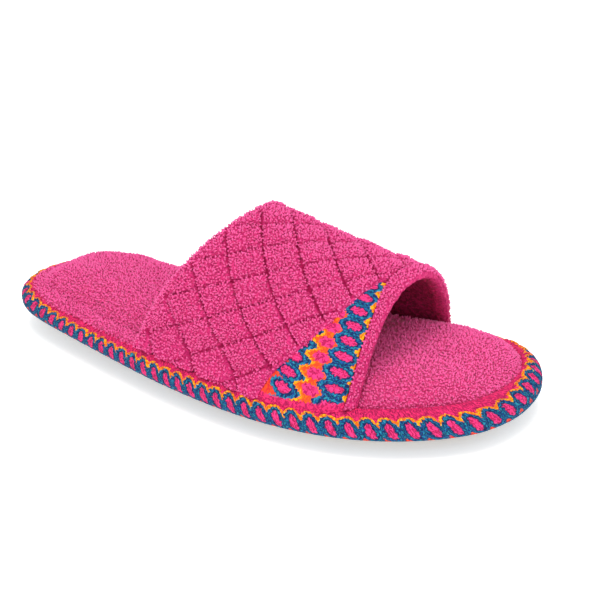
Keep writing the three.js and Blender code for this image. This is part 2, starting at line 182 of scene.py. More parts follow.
def smooth_lookup(keys, values, x):
    """Cubic through a table: slopes from the neighbours on both sides, level spans kept level."""
    x = np.clip(x, keys[0], keys[-1])
    i = np.clip(np.searchsorted(keys, x, side="right") - 1, 0, len(keys) - 2)
    ends = np.arange(len(keys))
    low, high = np.maximum(ends - 1, 0), np.minimum(ends + 1, len(keys) - 1)
    slope = (values[high] - values[low]) / (keys[high] - keys[low])
    run = keys[i + 1] - keys[i]
    t = (x - keys[i]) / run
    bend = np.where(values[i] == values[i + 1], 0, run)
    line = values[i] * (1 + 2 * t) * (1 - t) ** 2 + values[i + 1] * t * t * (3 - 2 * t)
    return line + bend * (slope[i] * t * (1 - t) ** 2 - slope[i + 1] * t * t * (1 - t))


def underside(x):
    """Height of the outsole's underside at a station, in mm."""
    return RIM_HEIGHT * smooth_lookup(SIDE[:, 0], SIDE[:, 1], x / LENGTH)


def seat(x):
    """Height where the outsole ends and the tape and the footbed begin."""
    return RIM_HEIGHT * smooth_lookup(SIDE[:, 0], SIDE[:, 2], x / LENGTH)


def rim(x):
    """Height of the tape's top edge."""
    return RIM_HEIGHT * smooth_lookup(SIDE[:, 0], SIDE[:, 3], x / LENGTH)


thirds = np.array([0, LENGTH / 2, LENGTH])
print("rim at heel, middle and toe:", np.round(rim(thirds), 1), "underside:", np.round(underside(thirds), 1))

# %% Outline
OUTLINE_FINENESS = 48
outline_points = np.concatenate([
    [(0.0, HEEL_TIP_Y)],
    np.stack([OUTLINE[:, 0] * LENGTH, -OUTLINE[:, 1] * WIDTH], 1),
    [(LENGTH, TOE_TIP_Y)],
    np.stack([OUTLINE[:, 0] * LENGTH, OUTLINE[:, 2] * WIDTH], 1)[::-1]])
fine_outline = smooth_loop(outline_points, OUTLINE_FINENESS)
CENTRE_Y = (fine_outline[:, 1].min() + fine_outline[:, 1].max()) / 2


def ring(steps):
    """The outline as points at equal steps, lateral half then medial half, with outward normals and the
    length walked from the heel tip. Point k of one half faces point -k of the other."""
    closed = np.vstack([fine_outline, fine_outline[:1]])
    walked = np.concatenate([[0], np.cumsum(np.linalg.norm(np.diff(closed, axis=0), axis=1))])
    toe = walked[np.argmax(closed[:, 0])]
    goals = np.concatenate([
        np.linspace(0, toe, steps, endpoint=False),
        np.linspace(toe, walked[-1], steps, endpoint=False)])
    points = np.stack([np.interp(goals, walked, closed[:, k]) for k in range(2)], 1)
    tangent = np.gradient(np.vstack([closed[-5:-1], closed, closed[1:5]]), axis=0)[4:-4]
    tangent = np.stack([np.interp(goals, walked, tangent[:, k]) for k in range(2)], 1)
    tangent /= np.linalg.norm(tangent, axis=1)[:, None]
    return points, np.stack([tangent[:, 1], -tangent[:, 0]], 1), goals, walked[-1]


HALVES = ring(600)
print("outline: %.1f mm round, centre y %.2f" % (HALVES[3], CENTRE_Y))


def half_edges(x, inset):
    """Lateral and medial y of the outline, moved in square to its edge by an inset in mm."""
    points, toe = HALVES[0] - HALVES[1] * inset, len(HALVES[0]) // 2
    lateral = points[: toe + 1]
    medial = np.vstack([points[:1], points[toe:][::-1]])
    return (np.interp(x, np.maximum.accumulate(side[:, 0]), side[:, 1]) for side in (lateral, medial))


# %% [markdown]
# ## From grids to meshes
# Every piece is an array of points, rows by columns. One function joins the four neighbours of each cell
# into a face, gives the corners their place on the cloth (repeats along, millimetres across) for the
# pattern, and turns the whole mesh outwards if its volume comes out negative. A second function gives the
# finish and the body and hides the solid it replaces, so each piece is put in place in the same way.

# %% Grid pieces
def place(points):
    """Millimetres from the heel tip to metres in the frame."""
    return (points - np.array([LENGTH / 2, CENTRE_Y, 0])) * MM


def grid_mesh(name, points, wrap_rows=False, wrap_columns=False, cloth=None, tints=None):
    """Mesh of four-cornered faces between neighbours of a grid of points, open or wrapped each way. The
    volume is a sixth of the sum of the corners' triple products, of which only the sign is used."""
    rows, columns = points.shape[:2]
    last_row, last_column = rows - (not wrap_rows), columns - (not wrap_columns)
    i, j = np.meshgrid(np.arange(last_row), np.arange(last_column), indexing="ij")
    corners = [(i, j), (i + 1, j), (i + 1, j + 1), (i, j + 1)]
    faces = np.stack([(a % rows) * columns + b % columns for a, b in corners], -1).reshape(-1, 4)
    flat = place(points).reshape(-1, 3)
    quad = flat[faces]
    volume = (np.cross(quad[:, 0], quad[:, 1]) * quad[:, 2]).sum()
    volume += (np.cross(quad[:, 0], quad[:, 2]) * quad[:, 3]).sum()
    order = [0, 1, 2, 3] if volume > 0 else [3, 2, 1, 0]
    mesh = bpy.data.meshes.new(name)
    mesh.vertices.add(len(flat))
    mesh.vertices.foreach_set("co", flat.astype(np.float32).ravel())
    mesh.loops.add(faces.size)
    mesh.loops.foreach_set("vertex_index", faces[:, order].astype(np.int32).ravel())
    mesh.polygons.add(len(faces))
    mesh.polygons.foreach_set("loop_start", np.arange(0, faces.size, 4, dtype=np.int32))
    mesh.update(calc_edges=True)
    if cloth is not None:
        layer = mesh.uv_layers.new(name="cloth")
        at = np.stack([cloth[corners[k][0], corners[k][1]] for k in order], -2)
        layer.data.foreach_set("uv", at.astype(np.float32).ravel())
    for key, values in (tints or {}).items():
        shade = mesh.attributes.new(key, "FLOAT", "POINT")
        shade.data.foreach_set("value", values.astype(np.float32).ravel())
    mesh.shade_smooth()
    return mesh


def finish_piece(name, mesh, finish, node, weld=0.0):
    """Welds collapsed poles, gives the mesh its finish and puts the piece on the body."""
    if weld:
        welded = bmesh.new()
        welded.from_mesh(mesh)
        bmesh.ops.remove_doubles(welded, verts=welded.verts, dist=weld)
        bmesh.ops.dissolve_degenerate(welded, edges=welded.edges, dist=weld * 0.1)
        welded.to_mesh(mesh)
        welded.free()
    mesh.materials.append(finish)
    piece = bpy.data.objects.new(name, mesh)
    bpy.context.scene.collection.objects.link(piece)
    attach(piece, "root")
    if node:
        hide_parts(node)
    print(name, "triangles", sum(len(p.vertices) - 2 for p in mesh.polygons))
    return piece


def unit_normals(points, wrap_rows=False, wrap_columns=False):
    """Normal at each grid point: the cross product of the differences along rows and along columns."""
    def difference(axis, wrap):
        if wrap:
            return np.roll(points, -1, axis) - np.roll(points, 1, axis)
        return np.gradient(points, axis=axis)

    n = np.cross(difference(0, wrap_rows), difference(1, wrap_columns))
    return n / np.maximum(np.linalg.norm(n, axis=-1, keepdims=True), 1e-9)


def lumps(points, size, seed, waves=40):
    """Random smooth field of about one size in mm: the sum of seeded plane waves in all directions."""
    rng = np.random.default_rng(seed)
    direction = rng.normal(size=(waves, 3))
    direction /= np.linalg.norm(direction, axis=1)[:, None]
    pull = 2 * np.pi / size * rng.uniform(0.7, 1.4, (waves, 1)) * direction
    shift = rng.uniform(0, 2 * np.pi, waves)
    return np.cos(points @ pull.T + shift).sum(-1) * math.sqrt(2 / waves) / 2


cube = np.indices((8, 8, 8)).reshape(3, -1).T * 5.0
print("lumps swing by %.2f about %.2f" % (lumps(cube, 24, 3).std(), lumps(cube, 24, 3).mean()))

# %% [markdown]
# ## One formula for relief and for colour
# The knit pattern has to stand up from the tape and be coloured in the same places. So its formulas are
# written once, and work on numpy arrays, which move the mesh, and on shader sockets, which colour it.
# `Signal` is a shader value that takes part in sums and products, and `maths` picks the right way.

# %% Signals
class Signal:
    """A number carried by a shader socket. Each operation adds one Math node."""
    def __init__(self, tree, socket):
        self.tree, self.socket = tree, socket

    def __add__(self, other):
        return maths("ADD", self, other)

    def __sub__(self, other):
        return maths("SUBTRACT", self, other)

    def __rsub__(self, other):
        return maths("SUBTRACT", other, self)

    def __mul__(self, other):
        return maths("MULTIPLY", self, other)

    def __truediv__(self, other):
        return maths("DIVIDE", self, other)

    __radd__, __rmul__ = __add__, __mul__


ARRAY_MATHS = {
    "FRACT": lambda a: a - np.floor(a), "ABSOLUTE": np.abs, "SQRT": np.sqrt, "SINE": np.sin,
    "COSINE": np.cos, "MINIMUM": np.minimum, "MAXIMUM": np.maximum}


def maths(kind, *values):
    """The named operation: on arrays at once, on signals as a new Math node."""
    signal = next((v for v in values if isinstance(v, Signal)), None)
    if signal is None:
        return ARRAY_MATHS[kind](*values)
    node = signal.tree.nodes.new("ShaderNodeMath")
    node.operation = kind
    for k, value in enumerate(values):
        if isinstance(value, Signal):
            signal.tree.links.new(value.socket, node.inputs[k])
        else:
            node.inputs[k].default_value = value
    return Signal(signal.tree, node.outputs[0])


def fract(a):
    """What is left over the whole number below."""
    return maths("FRACT", a)


def size_of(a):
    """The value without its sign."""
    return maths("ABSOLUTE", a)


def ramp(a, low, high):
    """0 below low, 1 above high, and an S-shaped rise between."""
    t = maths("MINIMUM", maths("MAXIMUM", (a - low) / (high - low), 0.0), 1.0)
    return t * t * (3.0 - 2.0 * t)


def length_of(a, b):
    """Root of the sum of two squares."""
    return maths("SQRT", a * a + b * b)


def line(distance, half_width, soft=0.2):
    """1 within a half width of a line, 0 beyond, with a soft edge."""
    return 1.0 - ramp(size_of(distance), half_width - soft, half_width + soft)


print("rise at a quarter, half, three quarters:", ramp(np.array([0.25, 0.5, 0.75]), 0.0, 1.0))

# %% [markdown]
# ## Colours and terry
# The yarns are a few plain colours. Terry is a cloth of short loops: light where the loops catch the light,
# deep between them, and both are put into the colour as painted highlight and painted shade. It could be a
# bump alone, but the edges would stay smooth against the floor. So the ground cloth has a fine bump in two
# sizes, and real loops stand on it later. A small class holds a finish while its nodes are joined, which
# keeps each finish to a few lines.

# %% Yarn colours
def linear(red, green, blue):
    """Screen colour, 0 to 255, to the linear values that a shader takes."""
    c = np.array([red, green, blue]) / 255
    return tuple(np.where(c <= 0.04045, c / 12.92, ((c + 0.055) / 1.055) ** 2.4)) + (1.0,)


# The light sky blue is a painted highlight on the plies; the navy is a yarn and also painted shade between
# plies and round the ovals.
YARN = {
    "pink": linear(234, 52, 124), "deep_pink": linear(170, 14, 78), "band": linear(232, 40, 106),
    "blue": linear(10, 82, 150), "teal": linear(2, 118, 138), "navy": linear(10, 28, 80),
    "sky": linear(60, 148, 182), "orange": linear(232, 104, 8), "yellow": linear(248, 172, 10),
    "red_orange": linear(236, 70, 32), "brick": linear(204, 40, 44)}
# Standing loops: painted shade at the root, painted highlight at the tip.
LOOP_TIP_PAINTED_HIGHLIGHT, LOOP_ROOT_PAINTED_SHADE = linear(241, 98, 164), linear(203, 38, 111)
# Terry ground: painted highlight on the loop tops, painted shade in the hollows.
GROUND_PAINTED_HIGHLIGHT, GROUND_PAINTED_SHADE = linear(222, 57, 126), linear(182, 25, 96)
# Quilting thread colour, deepened as painted shade in the troughs.
SEAM_THREAD_AND_SHADE = linear(176, 18, 84)
# Lining colour, darkened as painted shade inside the vamp.
SHADED_LINING_DEEP, SHADED_LINING_LIGHT = linear(122, 4, 48), linear(176, 16, 82)
RUBBER_DEEP, RUBBER_LIGHT = linear(98, 88, 82), linear(118, 110, 104)
print("yarns:", sorted(YARN))


# %% Finishes
class Finish:
    """A material under construction, with its shader tree and the few nodes that each finish needs."""
    def __init__(self, name, roughness, sheen=0.0):
        self.material = bpy.data.materials.new(name)
        self.material.use_nodes = True
        self.tree = self.material.node_tree
        self.shader = self.tree.nodes["Principled BSDF"]
        self.shader.inputs["Roughness"].default_value = roughness
        self.shader.inputs["Specular IOR Level"].default_value = 0.25
        self.shader.inputs["Sheen Weight"].default_value = sheen
        self.shader.inputs["Sheen Roughness"].default_value = 0.5
        self.where = self.tree.nodes.new("ShaderNodeTexCoord").outputs["Object"]

    def noise(self, size, detail=2.0, distortion=0.0):
        """Noise with lumps of a size in millimetres."""
        node = self.tree.nodes.new("ShaderNodeTexNoise")
        node.inputs["Scale"].default_value = 1 / (size * MM)
        node.inputs["Detail"].default_value = detail
        node.inputs["Distortion"].default_value = distortion
        self.tree.links.new(self.where, node.inputs["Vector"])
        return Signal(self.tree, node.outputs["Fac"])

    def yarn(self, u, v, wide, tall):
        """Noise in the cloth's own map, with grains of a width and a height in its units."""
        joined = self.tree.nodes.new("ShaderNodeCombineXYZ")
        self.tree.links.new((u / wide).socket, joined.inputs["X"])
        self.tree.links.new((v / tall).socket, joined.inputs["Y"])
        node = self.tree.nodes.new("ShaderNodeTexNoise")
        node.inputs["Scale"].default_value = 1.0
        node.inputs["Detail"].default_value = 0.0
        self.tree.links.new(joined.outputs["Vector"], node.inputs["Vector"])
        return Signal(self.tree, node.outputs["Fac"])

    def attribute(self, name):
        """A number stored at the mesh's points."""
        node = self.tree.nodes.new("ShaderNodeAttribute")
        node.attribute_name = name
        return Signal(self.tree, node.outputs["Fac"])

    def cloth(self):
        """The two numbers of the piece's own pattern map."""
        uv = self.tree.nodes.new("ShaderNodeUVMap")
        uv.uv_map = "cloth"
        split = self.tree.nodes.new("ShaderNodeSeparateXYZ")
        self.tree.links.new(uv.outputs["UV"], split.inputs["Vector"])
        return Signal(self.tree, split.outputs["X"]), Signal(self.tree, split.outputs["Y"])

    def mix(self, share, first, second):
        """Colour from first to second by a share."""
        node = self.tree.nodes.new("ShaderNodeMix")
        node.data_type = "RGBA"
        self.tree.links.new(share.socket, node.inputs["Factor"])
        for name, colour in (("A", first), ("B", second)):
            socket = next(s for s in node.inputs if s.name == name and s.type == "RGBA")
            if isinstance(colour, tuple):
                socket.default_value = colour
            else:
                self.tree.links.new(colour, socket)
        return next(s for s in node.outputs if s.type == "RGBA")

    def colour(self, socket):
        """Takes a colour as the shader's base."""
        self.tree.links.new(socket, self.shader.inputs["Base Color"])

    def bump(self, *heights):
        """Bump nodes in a chain, each from a signal and a depth in millimetres."""
        normal = None
        for signal, depth in heights:
            node = self.tree.nodes.new("ShaderNodeBump")
            node.inputs["Distance"].default_value = depth * MM
            self.tree.links.new(signal.socket, node.inputs["Height"])
            if normal is not None:
                self.tree.links.new(normal, node.inputs["Normal"])
            normal = node.outputs["Normal"]
        self.tree.links.new(normal, self.shader.inputs["Normal"])


print("a finish offers:", ", ".join(name for name in vars(Finish) if not name.startswith("_")))

# %% Terry finishes
CURL_SIZE, CURL_DEPTH = 1.5, 1.3
FINE_SIZE, FINE_DEPTH = 0.7, 0.6
LOOP_ROUGHNESS, LOOP_SHEEN, LOOP_SHINE = 0.95, 0.1, 0.1


def terry_ground(finish):
    """Terry ground: curly noise of the loops' size and a finer one; painted shade in the hollows, painted
    highlight on the tops.
    """
    curls = finish.noise(CURL_SIZE, detail=2.0, distortion=1.2)
    fine = finish.noise(FINE_SIZE, detail=2.0, distortion=0.6)
    finish.bump((curls, CURL_DEPTH), (fine, FINE_DEPTH))
    # The colour follows the bump's curls: painted highlight on the tops, painted shade in the hollows.
    return finish.mix(ramp(curls * 0.65 + fine * 0.35, 0.38, 0.58), GROUND_PAINTED_SHADE, GROUND_PAINTED_HIGHLIGHT)


def loop_finish():
    """Colour of the standing loops: deep crimson at the root as painted shade, light at the tip as painted
    highlight, each loop a little different.
    """
    finish = Finish("terry_loop_yarn", LOOP_ROUGHNESS, sheen=LOOP_SHEEN)
    finish.shader.inputs["Specular IOR Level"].default_value = LOOP_SHINE
    share = finish.attribute("tip") * 0.85 + finish.attribute("chance") * 0.35 - 0.15
    # Painted shade at the root, painted highlight at the tip, and a random share for each loop.
    finish.colour(finish.mix(ramp(share, 0.0, 1.0), LOOP_ROOT_PAINTED_SHADE, LOOP_TIP_PAINTED_HIGHLIGHT))
    return finish.material


loop_yarn = loop_finish()
print("loop yarn: %d nodes" % len(loop_yarn.node_tree.nodes))

# %% [markdown]
# ## Standing loops
# Terry loops are separate arches of yarn with both feet in the cloth. Hair curves could stand for them, but
# they would leave no mesh behind. Each loop here is a bent rod of two spans and three sides, with its own
# direction, size and lean, and thousands are joined in one mesh.

# %% Loop meshes
LOOP_SPAN, LOOP_HEIGHT, LOOP_RADIUS = 1.45, 0.80, 0.40
LOOP_STATIONS = np.array([(-0.50, -0.45), (0.00, 0.90), (0.50, -0.45)])
LOOP_SWELL = np.array([0.75, 1.15, 0.75])
LOOP_LEAN = 0.28
SIDES = 3
POINTS = SIDES * len(LOOP_STATIONS)


def terry_loops(name, feet, normals, seed, lighter=0.0):
    """feet: points on the cloth; normals: outward there; lighter: added to each loop's chance of being
    light. Ring k of a loop is a triangle round the arch's centre line, square to it. The first loop tells
    which way the faces turn: outwards is away from the middle of its first span."""
    rng = np.random.default_rng(seed)
    count = len(feet)
    aim = rng.normal(size=(count, 3))
    aim -= normals * (aim * normals).sum(1, keepdims=True)
    aim /= np.linalg.norm(aim, axis=1, keepdims=True)
    side = np.cross(normals, aim)
    size = rng.uniform(0.75, 1.25, (count, 1, 1))
    tilt = rng.normal(0, LOOP_LEAN, (count, 1, 1))
    reach, lift = LOOP_STATIONS[None, :, :1], LOOP_STATIONS[None, :, 1:]
    middle = feet[:, None] + aim[:, None] * reach * LOOP_SPAN * size
    middle += normals[:, None] * lift * LOOP_HEIGHT * size + side[:, None] * tilt * lift
    run = np.gradient(middle, axis=1)
    run /= np.linalg.norm(run, axis=2, keepdims=True)
    over = np.cross(run, side[:, None])
    turns = (np.pi / 2 + 2 * np.pi * np.arange(SIDES) / SIDES)[None, None, :, None]
    radius = LOOP_RADIUS * rng.uniform(0.8, 1.15, (count, 1, 1, 1)) * LOOP_SWELL[None, :, None, None]
    spread = side[:, None, None] * np.cos(turns) + over[:, :, None] * np.sin(turns)
    points = place(middle[:, :, None] + spread * radius).reshape(-1, 3)
    k, j = np.meshgrid(np.arange(len(LOOP_STATIONS) - 1), np.arange(SIDES), indexing="ij")
    here, beside = k * SIDES + j, k * SIDES + (j + 1) % SIDES
    quads = np.stack([here, beside, beside + SIDES, here + SIDES], -1).reshape(-1, 4)
    ends = np.array([(2, 1, 0), (6, 7, 8)])
    first = points[:POINTS]
    a, b, _, d = first[quads[0]]
    outward = first[quads[0]].mean(0) - first[: 2 * SIDES].mean(0)
    if np.dot(np.cross(b - a, d - a), outward) < 0:
        quads, ends = quads[:, ::-1], ends[:, ::-1]
    base = np.arange(count)[:, None] * POINTS
    corners = np.concatenate([(base + quads.reshape(1, -1)).ravel(), (base + ends.reshape(1, -1)).ravel()])
    quad_corners = count * quads.size
    starts = np.concatenate([
        np.arange(0, quad_corners, 4), quad_corners + np.arange(0, count * ends.size, SIDES)])
    mesh = bpy.data.meshes.new(name)
    mesh.vertices.add(len(points))
    mesh.vertices.foreach_set("co", points.astype(np.float32).ravel())
    mesh.loops.add(len(corners))
    mesh.loops.foreach_set("vertex_index", corners.astype(np.int32))
    mesh.polygons.add(len(starts))
    mesh.polygons.foreach_set("loop_start", starts.astype(np.int32))
    mesh.update(calc_edges=True)
    tip = np.repeat(np.tile(np.array([0.0, 1.0, 0.0]), count), SIDES)
    chance = np.repeat(rng.uniform(0, 1, count) + lighter, POINTS)
    for key, values in (("tip", tip), ("chance", chance)):
        mesh.attributes.new(key, "FLOAT", "POINT").data.foreach_set("value", values.astype(np.float32))
    mesh.shade_smooth()
    finish_piece(name, mesh, loop_yarn, None)


loop_size = LOOP_HEIGHT * LOOP_STATIONS[1, 1] + LOOP_RADIUS * LOOP_SWELL[1]
print("a loop spans %.2f mm and stands %.2f mm high" % (LOOP_SPAN, loop_size))

# %% [markdown]
# ## Knit tape
# A jacquard knit tape is wrapped round the whole edge of the sole. Across it, from the pad outwards:
# a ribbed pink-red band, one wavy orange thread, a chain of ovals held by two crossing braids, and small
# red triangles below. Each braid is a wave of the repeat, so they cross midway between ovals. The pattern's
# map counts repeats along the sole and millimetres across, which keeps the ovals equal on every bend, as a
# picture laid on flat would not. The sewing stretched, leaned and shifted the tape a little, which short
# tables along the edge follow.

# %% Tape pattern
PITCH = 7.9
OVAL_HALF_WIDE, OVAL_HALF_HIGH = 1.85, 3.4
BRAID_WAVE = 4.3
# plies of a braid and stitches of an oval: turns of their waves in radians per mm
PLY_TURN, STITCH_TURN = 4.2, 5.7
THREAD_LOW, THREAD_SWING, THREAD_ROUND = 2.6, 4.2, 1.5
THREAD_HALF, THREAD_THINNING = 1.05, 0.68
WOBBLE, WOBBLE_TURN = 0.22, 7.9
TRIANGLE_LOW, TRIANGLE_SLOPE = 2.8, 4.0
TRIANGLE_END = (5.0, 5.4)
DRIFT = 1.6
RIBS_PER_REPEAT = 8


def tape_pattern(repeat, across):
    """repeat: whole at each oval's middle; across: mm above the middle of the chain. The braids run at
    plus and minus the wave times the cosine of the half turn; the thread rides over them."""
    along = (fract(repeat + 0.5) - 0.5) * PITCH
    reach = length_of(along / OVAL_HALF_WIDE, across / OVAL_HALF_HIGH)
    wave = size_of(maths("COSINE", repeat * math.pi))
    wobble = maths("SINE", repeat * WOBBLE_TURN) * WOBBLE
    braid = size_of(size_of(across) - wave * BRAID_WAVE)
    thread_at = THREAD_LOW + wave * (THREAD_SWING - wave * THREAD_ROUND) + wobble
    thread = line(across - thread_at, THREAD_HALF - wave * THREAD_THINNING)
    band = ramp(across - thread_at, 0.2, 0.5)
    below = across * -1.0
    under_braid = ramp(below - (TRIANGLE_LOW + wave * TRIANGLE_SLOPE), -0.2, 0.2)
    triangle = under_braid * (1.0 - ramp(below, *TRIANGLE_END))
    return reach, braid, thread, band, triangle, along


def tape_relief(repeat, across):
    """Height in mm: domed ovals of long stitches, round braids, a raised thread and ribs on the band."""
    reach, braid, thread, band, triangle, along = tape_pattern(repeat, across)
    oval = reach < 1
    dome = 0.5 * np.sqrt(np.clip(1 - reach**2, 0, 1)) + 0.08 * np.cos(along * STITCH_TURN) * oval
    plies = 0.30 + 0.16 * np.cos(braid * PLY_TURN)
    ribs = 0.12 * np.cos(2 * np.pi * repeat * RIBS_PER_REPEAT) * band
    return dome + plies * ~oval * (1 - band) * (1 - triangle) + 0.55 * thread + ribs + 0.1 * triangle


def braid_colours(finish, reach, braid, stitch, grain, speck):
    """Teal and blue plies with dark yarn between them, deepened as painted shade, and light crests as painted
    highlight; round pink ovals of long stitches, each in a dark ring deepened as painted shade. stitch: mm
    across the stitches."""
    ply = maths("COSINE", braid * PLY_TURN + (grain - 0.5) * 1.4)
    plies = finish.mix(ramp(speck, 0.40, 0.60), YARN["blue"], YARN["teal"])
    # Dark between the plies: painted shade in the grooves.
    plies = finish.mix((1.0 - ramp(ply, -0.9, 0.0)) * 0.95, plies, YARN["navy"])
    plies = finish.mix((1.0 - ramp(grain * 0.5 + speck * 0.5, 0.40, 0.47)) * 0.6, plies, YARN["navy"])
    # Light on the plies' crests: painted highlight.
    plies = finish.mix(ramp(ply + speck * 2.0, 1.85, 2.3) * 0.6, plies, YARN["sky"])
    strand = maths("COSINE", stitch * STITCH_TURN) * 0.12 + grain * 0.7 + speck * 0.3
    light = finish.mix(ramp(strand, 0.38, 0.56), YARN["deep_pink"], YARN["pink"])
    # Dark ring round each oval: navy yarn deepened as painted shade in its groove.
    look = finish.mix(line(reach - 1.06, 0.09, 0.10), plies, YARN["navy"])
    return finish.mix(1.0 - ramp(reach, 0.90, 1.02), look, light)


def ragged(finish, u, v, unit):
    """The map with each point moved a little at random, because knit edges are never clean. unit: mm of u."""
    drift = finish.yarn(u * unit, v, 1.1, 1.1)
    other = finish.yarn(u * unit + 40.0, v, 1.0, 1.0)
    return u + (drift - 0.5) * (DRIFT / unit), v + (other - 0.5) * DRIFT


relief = tape_relief(np.linspace(0, 1, 41)[:, None], np.linspace(-6, 6, 49)[None, :])
print("tape relief: %.2f to %.2f mm" % (relief.min(), relief.max()))

# %% Tape finish
KNIT_ROUGHNESS, KNIT_BUMP = 0.8, 0.9
tape = Finish("knit_tape", KNIT_ROUGHNESS)
repeat, across = ragged(tape, *tape.cloth(), PITCH)
reach, braid, thread, band, triangle, along = tape_pattern(repeat, across)
grain = tape.yarn(repeat * PITCH, across, 0.5, 1.6)
speck = tape.yarn(repeat * PITCH, across, 0.8, 0.8)
chain = braid_colours(tape, reach, braid, along, grain, speck)
triangle_colour = tape.mix(ramp(speck, 0.40, 0.60), YARN["brick"], YARN["red_orange"])
chain = tape.mix(triangle, chain, triangle_colour)
ribs = maths("COSINE", repeat * (2 * math.pi * RIBS_PER_REPEAT))
band_share = ramp(ribs * 0.04 + grain * 0.6 + speck * 0.4, 0.41, 0.55)
band_colour = tape.mix(band_share, YARN["deep_pink"], YARN["band"])
chain = tape.mix(band, chain, band_colour)
gold = tape.mix(ramp(speck, 0.45, 0.62), YARN["orange"], YARN["yellow"])
tape.colour(tape.mix(thread, chain, gold))
tape.bump((grain * 0.7 + ribs * 0.15 + speck * 0.3, KNIT_BUMP))
print("tape finish: %d nodes" % len(tape.tree.nodes))

# %% Tape lay
# inset as a share of BINDING_DEPTH, rise as a share of the way from the seat to the rim
BINDING_SECTION = np.array([
    (1.60, 0.00), (0.95, 0.00), (0.45, 0.00), (0.17, 0.08), (0.03, 0.26), (0.00, 0.47), (0.04, 0.60),
    (0.15, 0.73), (0.34, 0.86), (0.60, 0.96), (0.88, 1.00), (1.00, 0.92), (1.00, 0.70), (1.62, 0.06)])
SECTION_HEIGHT = 12.0
REPEATS = 77
STRETCH = ((0.319, -0.023), (-0.212, -0.031))
FIRST_REPEAT = -2.811
# share of the way round from the heel tip, chain's rise over the widest line in mm, lean of the ovals
TAPE_LAY = np.array([
    (0.000, 6.0, -0.30), (0.040, 3.4, -0.35), (0.085, 0.8, -0.40), (0.120, -0.2, -0.35), (0.160, -0.2, -0.05),
    (0.220, -0.1, 0.30), (0.300, 0.0, 0.40), (0.380, 0.1, 0.42), (0.420, 0.2, 0.55), (0.470, 0.3, 0.80),
    (0.490, 1.2, 0.80), (0.510, 3.2, 0.60), (0.530, 4.6, 0.30), (0.560, 4.4, 0.10), (0.660, 1.2, 0.10),
    (0.900, 1.2, 0.00), (0.960, 5.0, -0.20), (1.000, 6.0, -0.30)])


def repeat_at(share):
    """Repeats walked at a share of the way round: even, plus two slow waves of stretch."""
    turns = 2 * np.pi * share
    waves = sum(a * np.sin((k + 1) * turns) + b * np.cos((k + 1) * turns) for k, (a, b) in enumerate(STRETCH))
    return REPEATS * share + FIRST_REPEAT + waves


HEEL_SCALE, FULL_SCALE_X = 0.80, 150
UNDER_LAP, TOP_LAP = 7.0, 1.6


def tape_scale(x):
    """The chain is narrower round the heel, where the tape was pulled tighter under the edge."""
    return HEEL_SCALE + (1 - HEEL_SCALE) * np.clip(x / FULL_SCALE_X, 0, 1)


section = smooth_loop(BINDING_SECTION * np.array([BINDING_DEPTH, SECTION_HEIGHT]), 24)
stations = np.concatenate([[0], np.cumsum(np.linalg.norm(np.diff(section, axis=0), axis=1))])
widest = stations[np.argmin(section[: len(section) // 2, 0])]
top_end = stations[np.argmax(section[:, 1])] + TOP_LAP
print("tape: %.0f mm round its section, %.1f mm of it seen" % (stations[-1], top_end - widest + UNDER_LAP))

# %% Tape surface
edge, edge_normal, walked, girth_round = ring(800)
picks = np.concatenate([
    np.linspace(0, widest - UNDER_LAP, 8, endpoint=False),
    np.linspace(widest - UNDER_LAP, top_end, 44, endpoint=False),
    np.linspace(top_end, stations[-1], 7)])
profile = np.stack([np.interp(picks, stations, section[:, k]) for k in range(2)], 1)
inset, rise = profile[:, 0], profile[:, 1] / SECTION_HEIGHT
x = edge[:, None, 0] - edge_normal[:, None, 0] * inset
y = edge[:, None, 1] - edge_normal[:, None, 1] * inset
low = seat(x) + GAP
binding = np.stack([x, y, low + (rim(x) - low) * rise], -1)
share = walked / girth_round
raised, lean = (smooth_lookup(TAPE_LAY[:, 0], TAPE_LAY[:, k], share)[:, None] for k in (1, 2))
across_mm = ((picks - widest)[None, :] - raised) / tape_scale(x)
repeats = repeat_at(share)[:, None] + lean / PITCH * across_mm
shown = np.clip((picks - widest + 6.0) / 4.0, 0, 1) * np.clip(top_end - picks, 0, 1)
normals = unit_normals(binding, True, True)
side_column = 20
outward = np.sign((normals[:, side_column, :2] * edge_normal).sum(1).mean())
binding += outward * normals * (tape_relief(repeats, across_mm) * shown)[..., None]
cloth = np.stack([repeats, across_mm], -1)
cloth = np.concatenate([cloth, cloth[:1] + np.array([REPEATS, 0])], 0)
cloth = np.concatenate([cloth, cloth[:, -1:] + np.array([0, 1.0])], 1)
mesh = grid_mesh("tape_binding", binding, True, True, cloth)
finish_piece("tape_binding", mesh, tape.material, "binding")
print("tape: %.1f mm round the sole, %d repeats" % (girth_round, REPEATS))

# %% [markdown]
# ## Outsole
# A thin moulded unit with a rounded, tucked-under side. A box with rounded edges would miss its tuck, so it
# is made as rings: from the middle line of the underside out to the edge, up the side and back to the
# middle line on top. Fine upright ribs on the side and shallow grooves across the underside are part of the
# mesh. In all closed pieces of this kind the poles on the middle line are welded afterwards.

# %% Outsole surface
# inset as a share of SOLE_TUCK, share of the side's height
SOLE_WALL = np.array([(1.00, 0.00), (0.85, 0.05), (0.70, 0.20), (0.60, 0.44), (0.54, 0.72), (0.51, 1.00)])
RIB_DEPTH, RIB_PITCH = 0.16, 2.4
GROOVE_DEPTH, GROOVE_PITCH = 0.5, 6.5
WELD = 2e-5
edge, edge_normal, walked, girth_round = ring(360)


def to_spine(row, steps):
    """Rows from an outer ring in to the middle line, as shares of the way."""
    facing = np.roll(row[::-1], 1, 0)
    middle = (row + facing) / 2
    return [row + (middle - row) * t for t in steps]


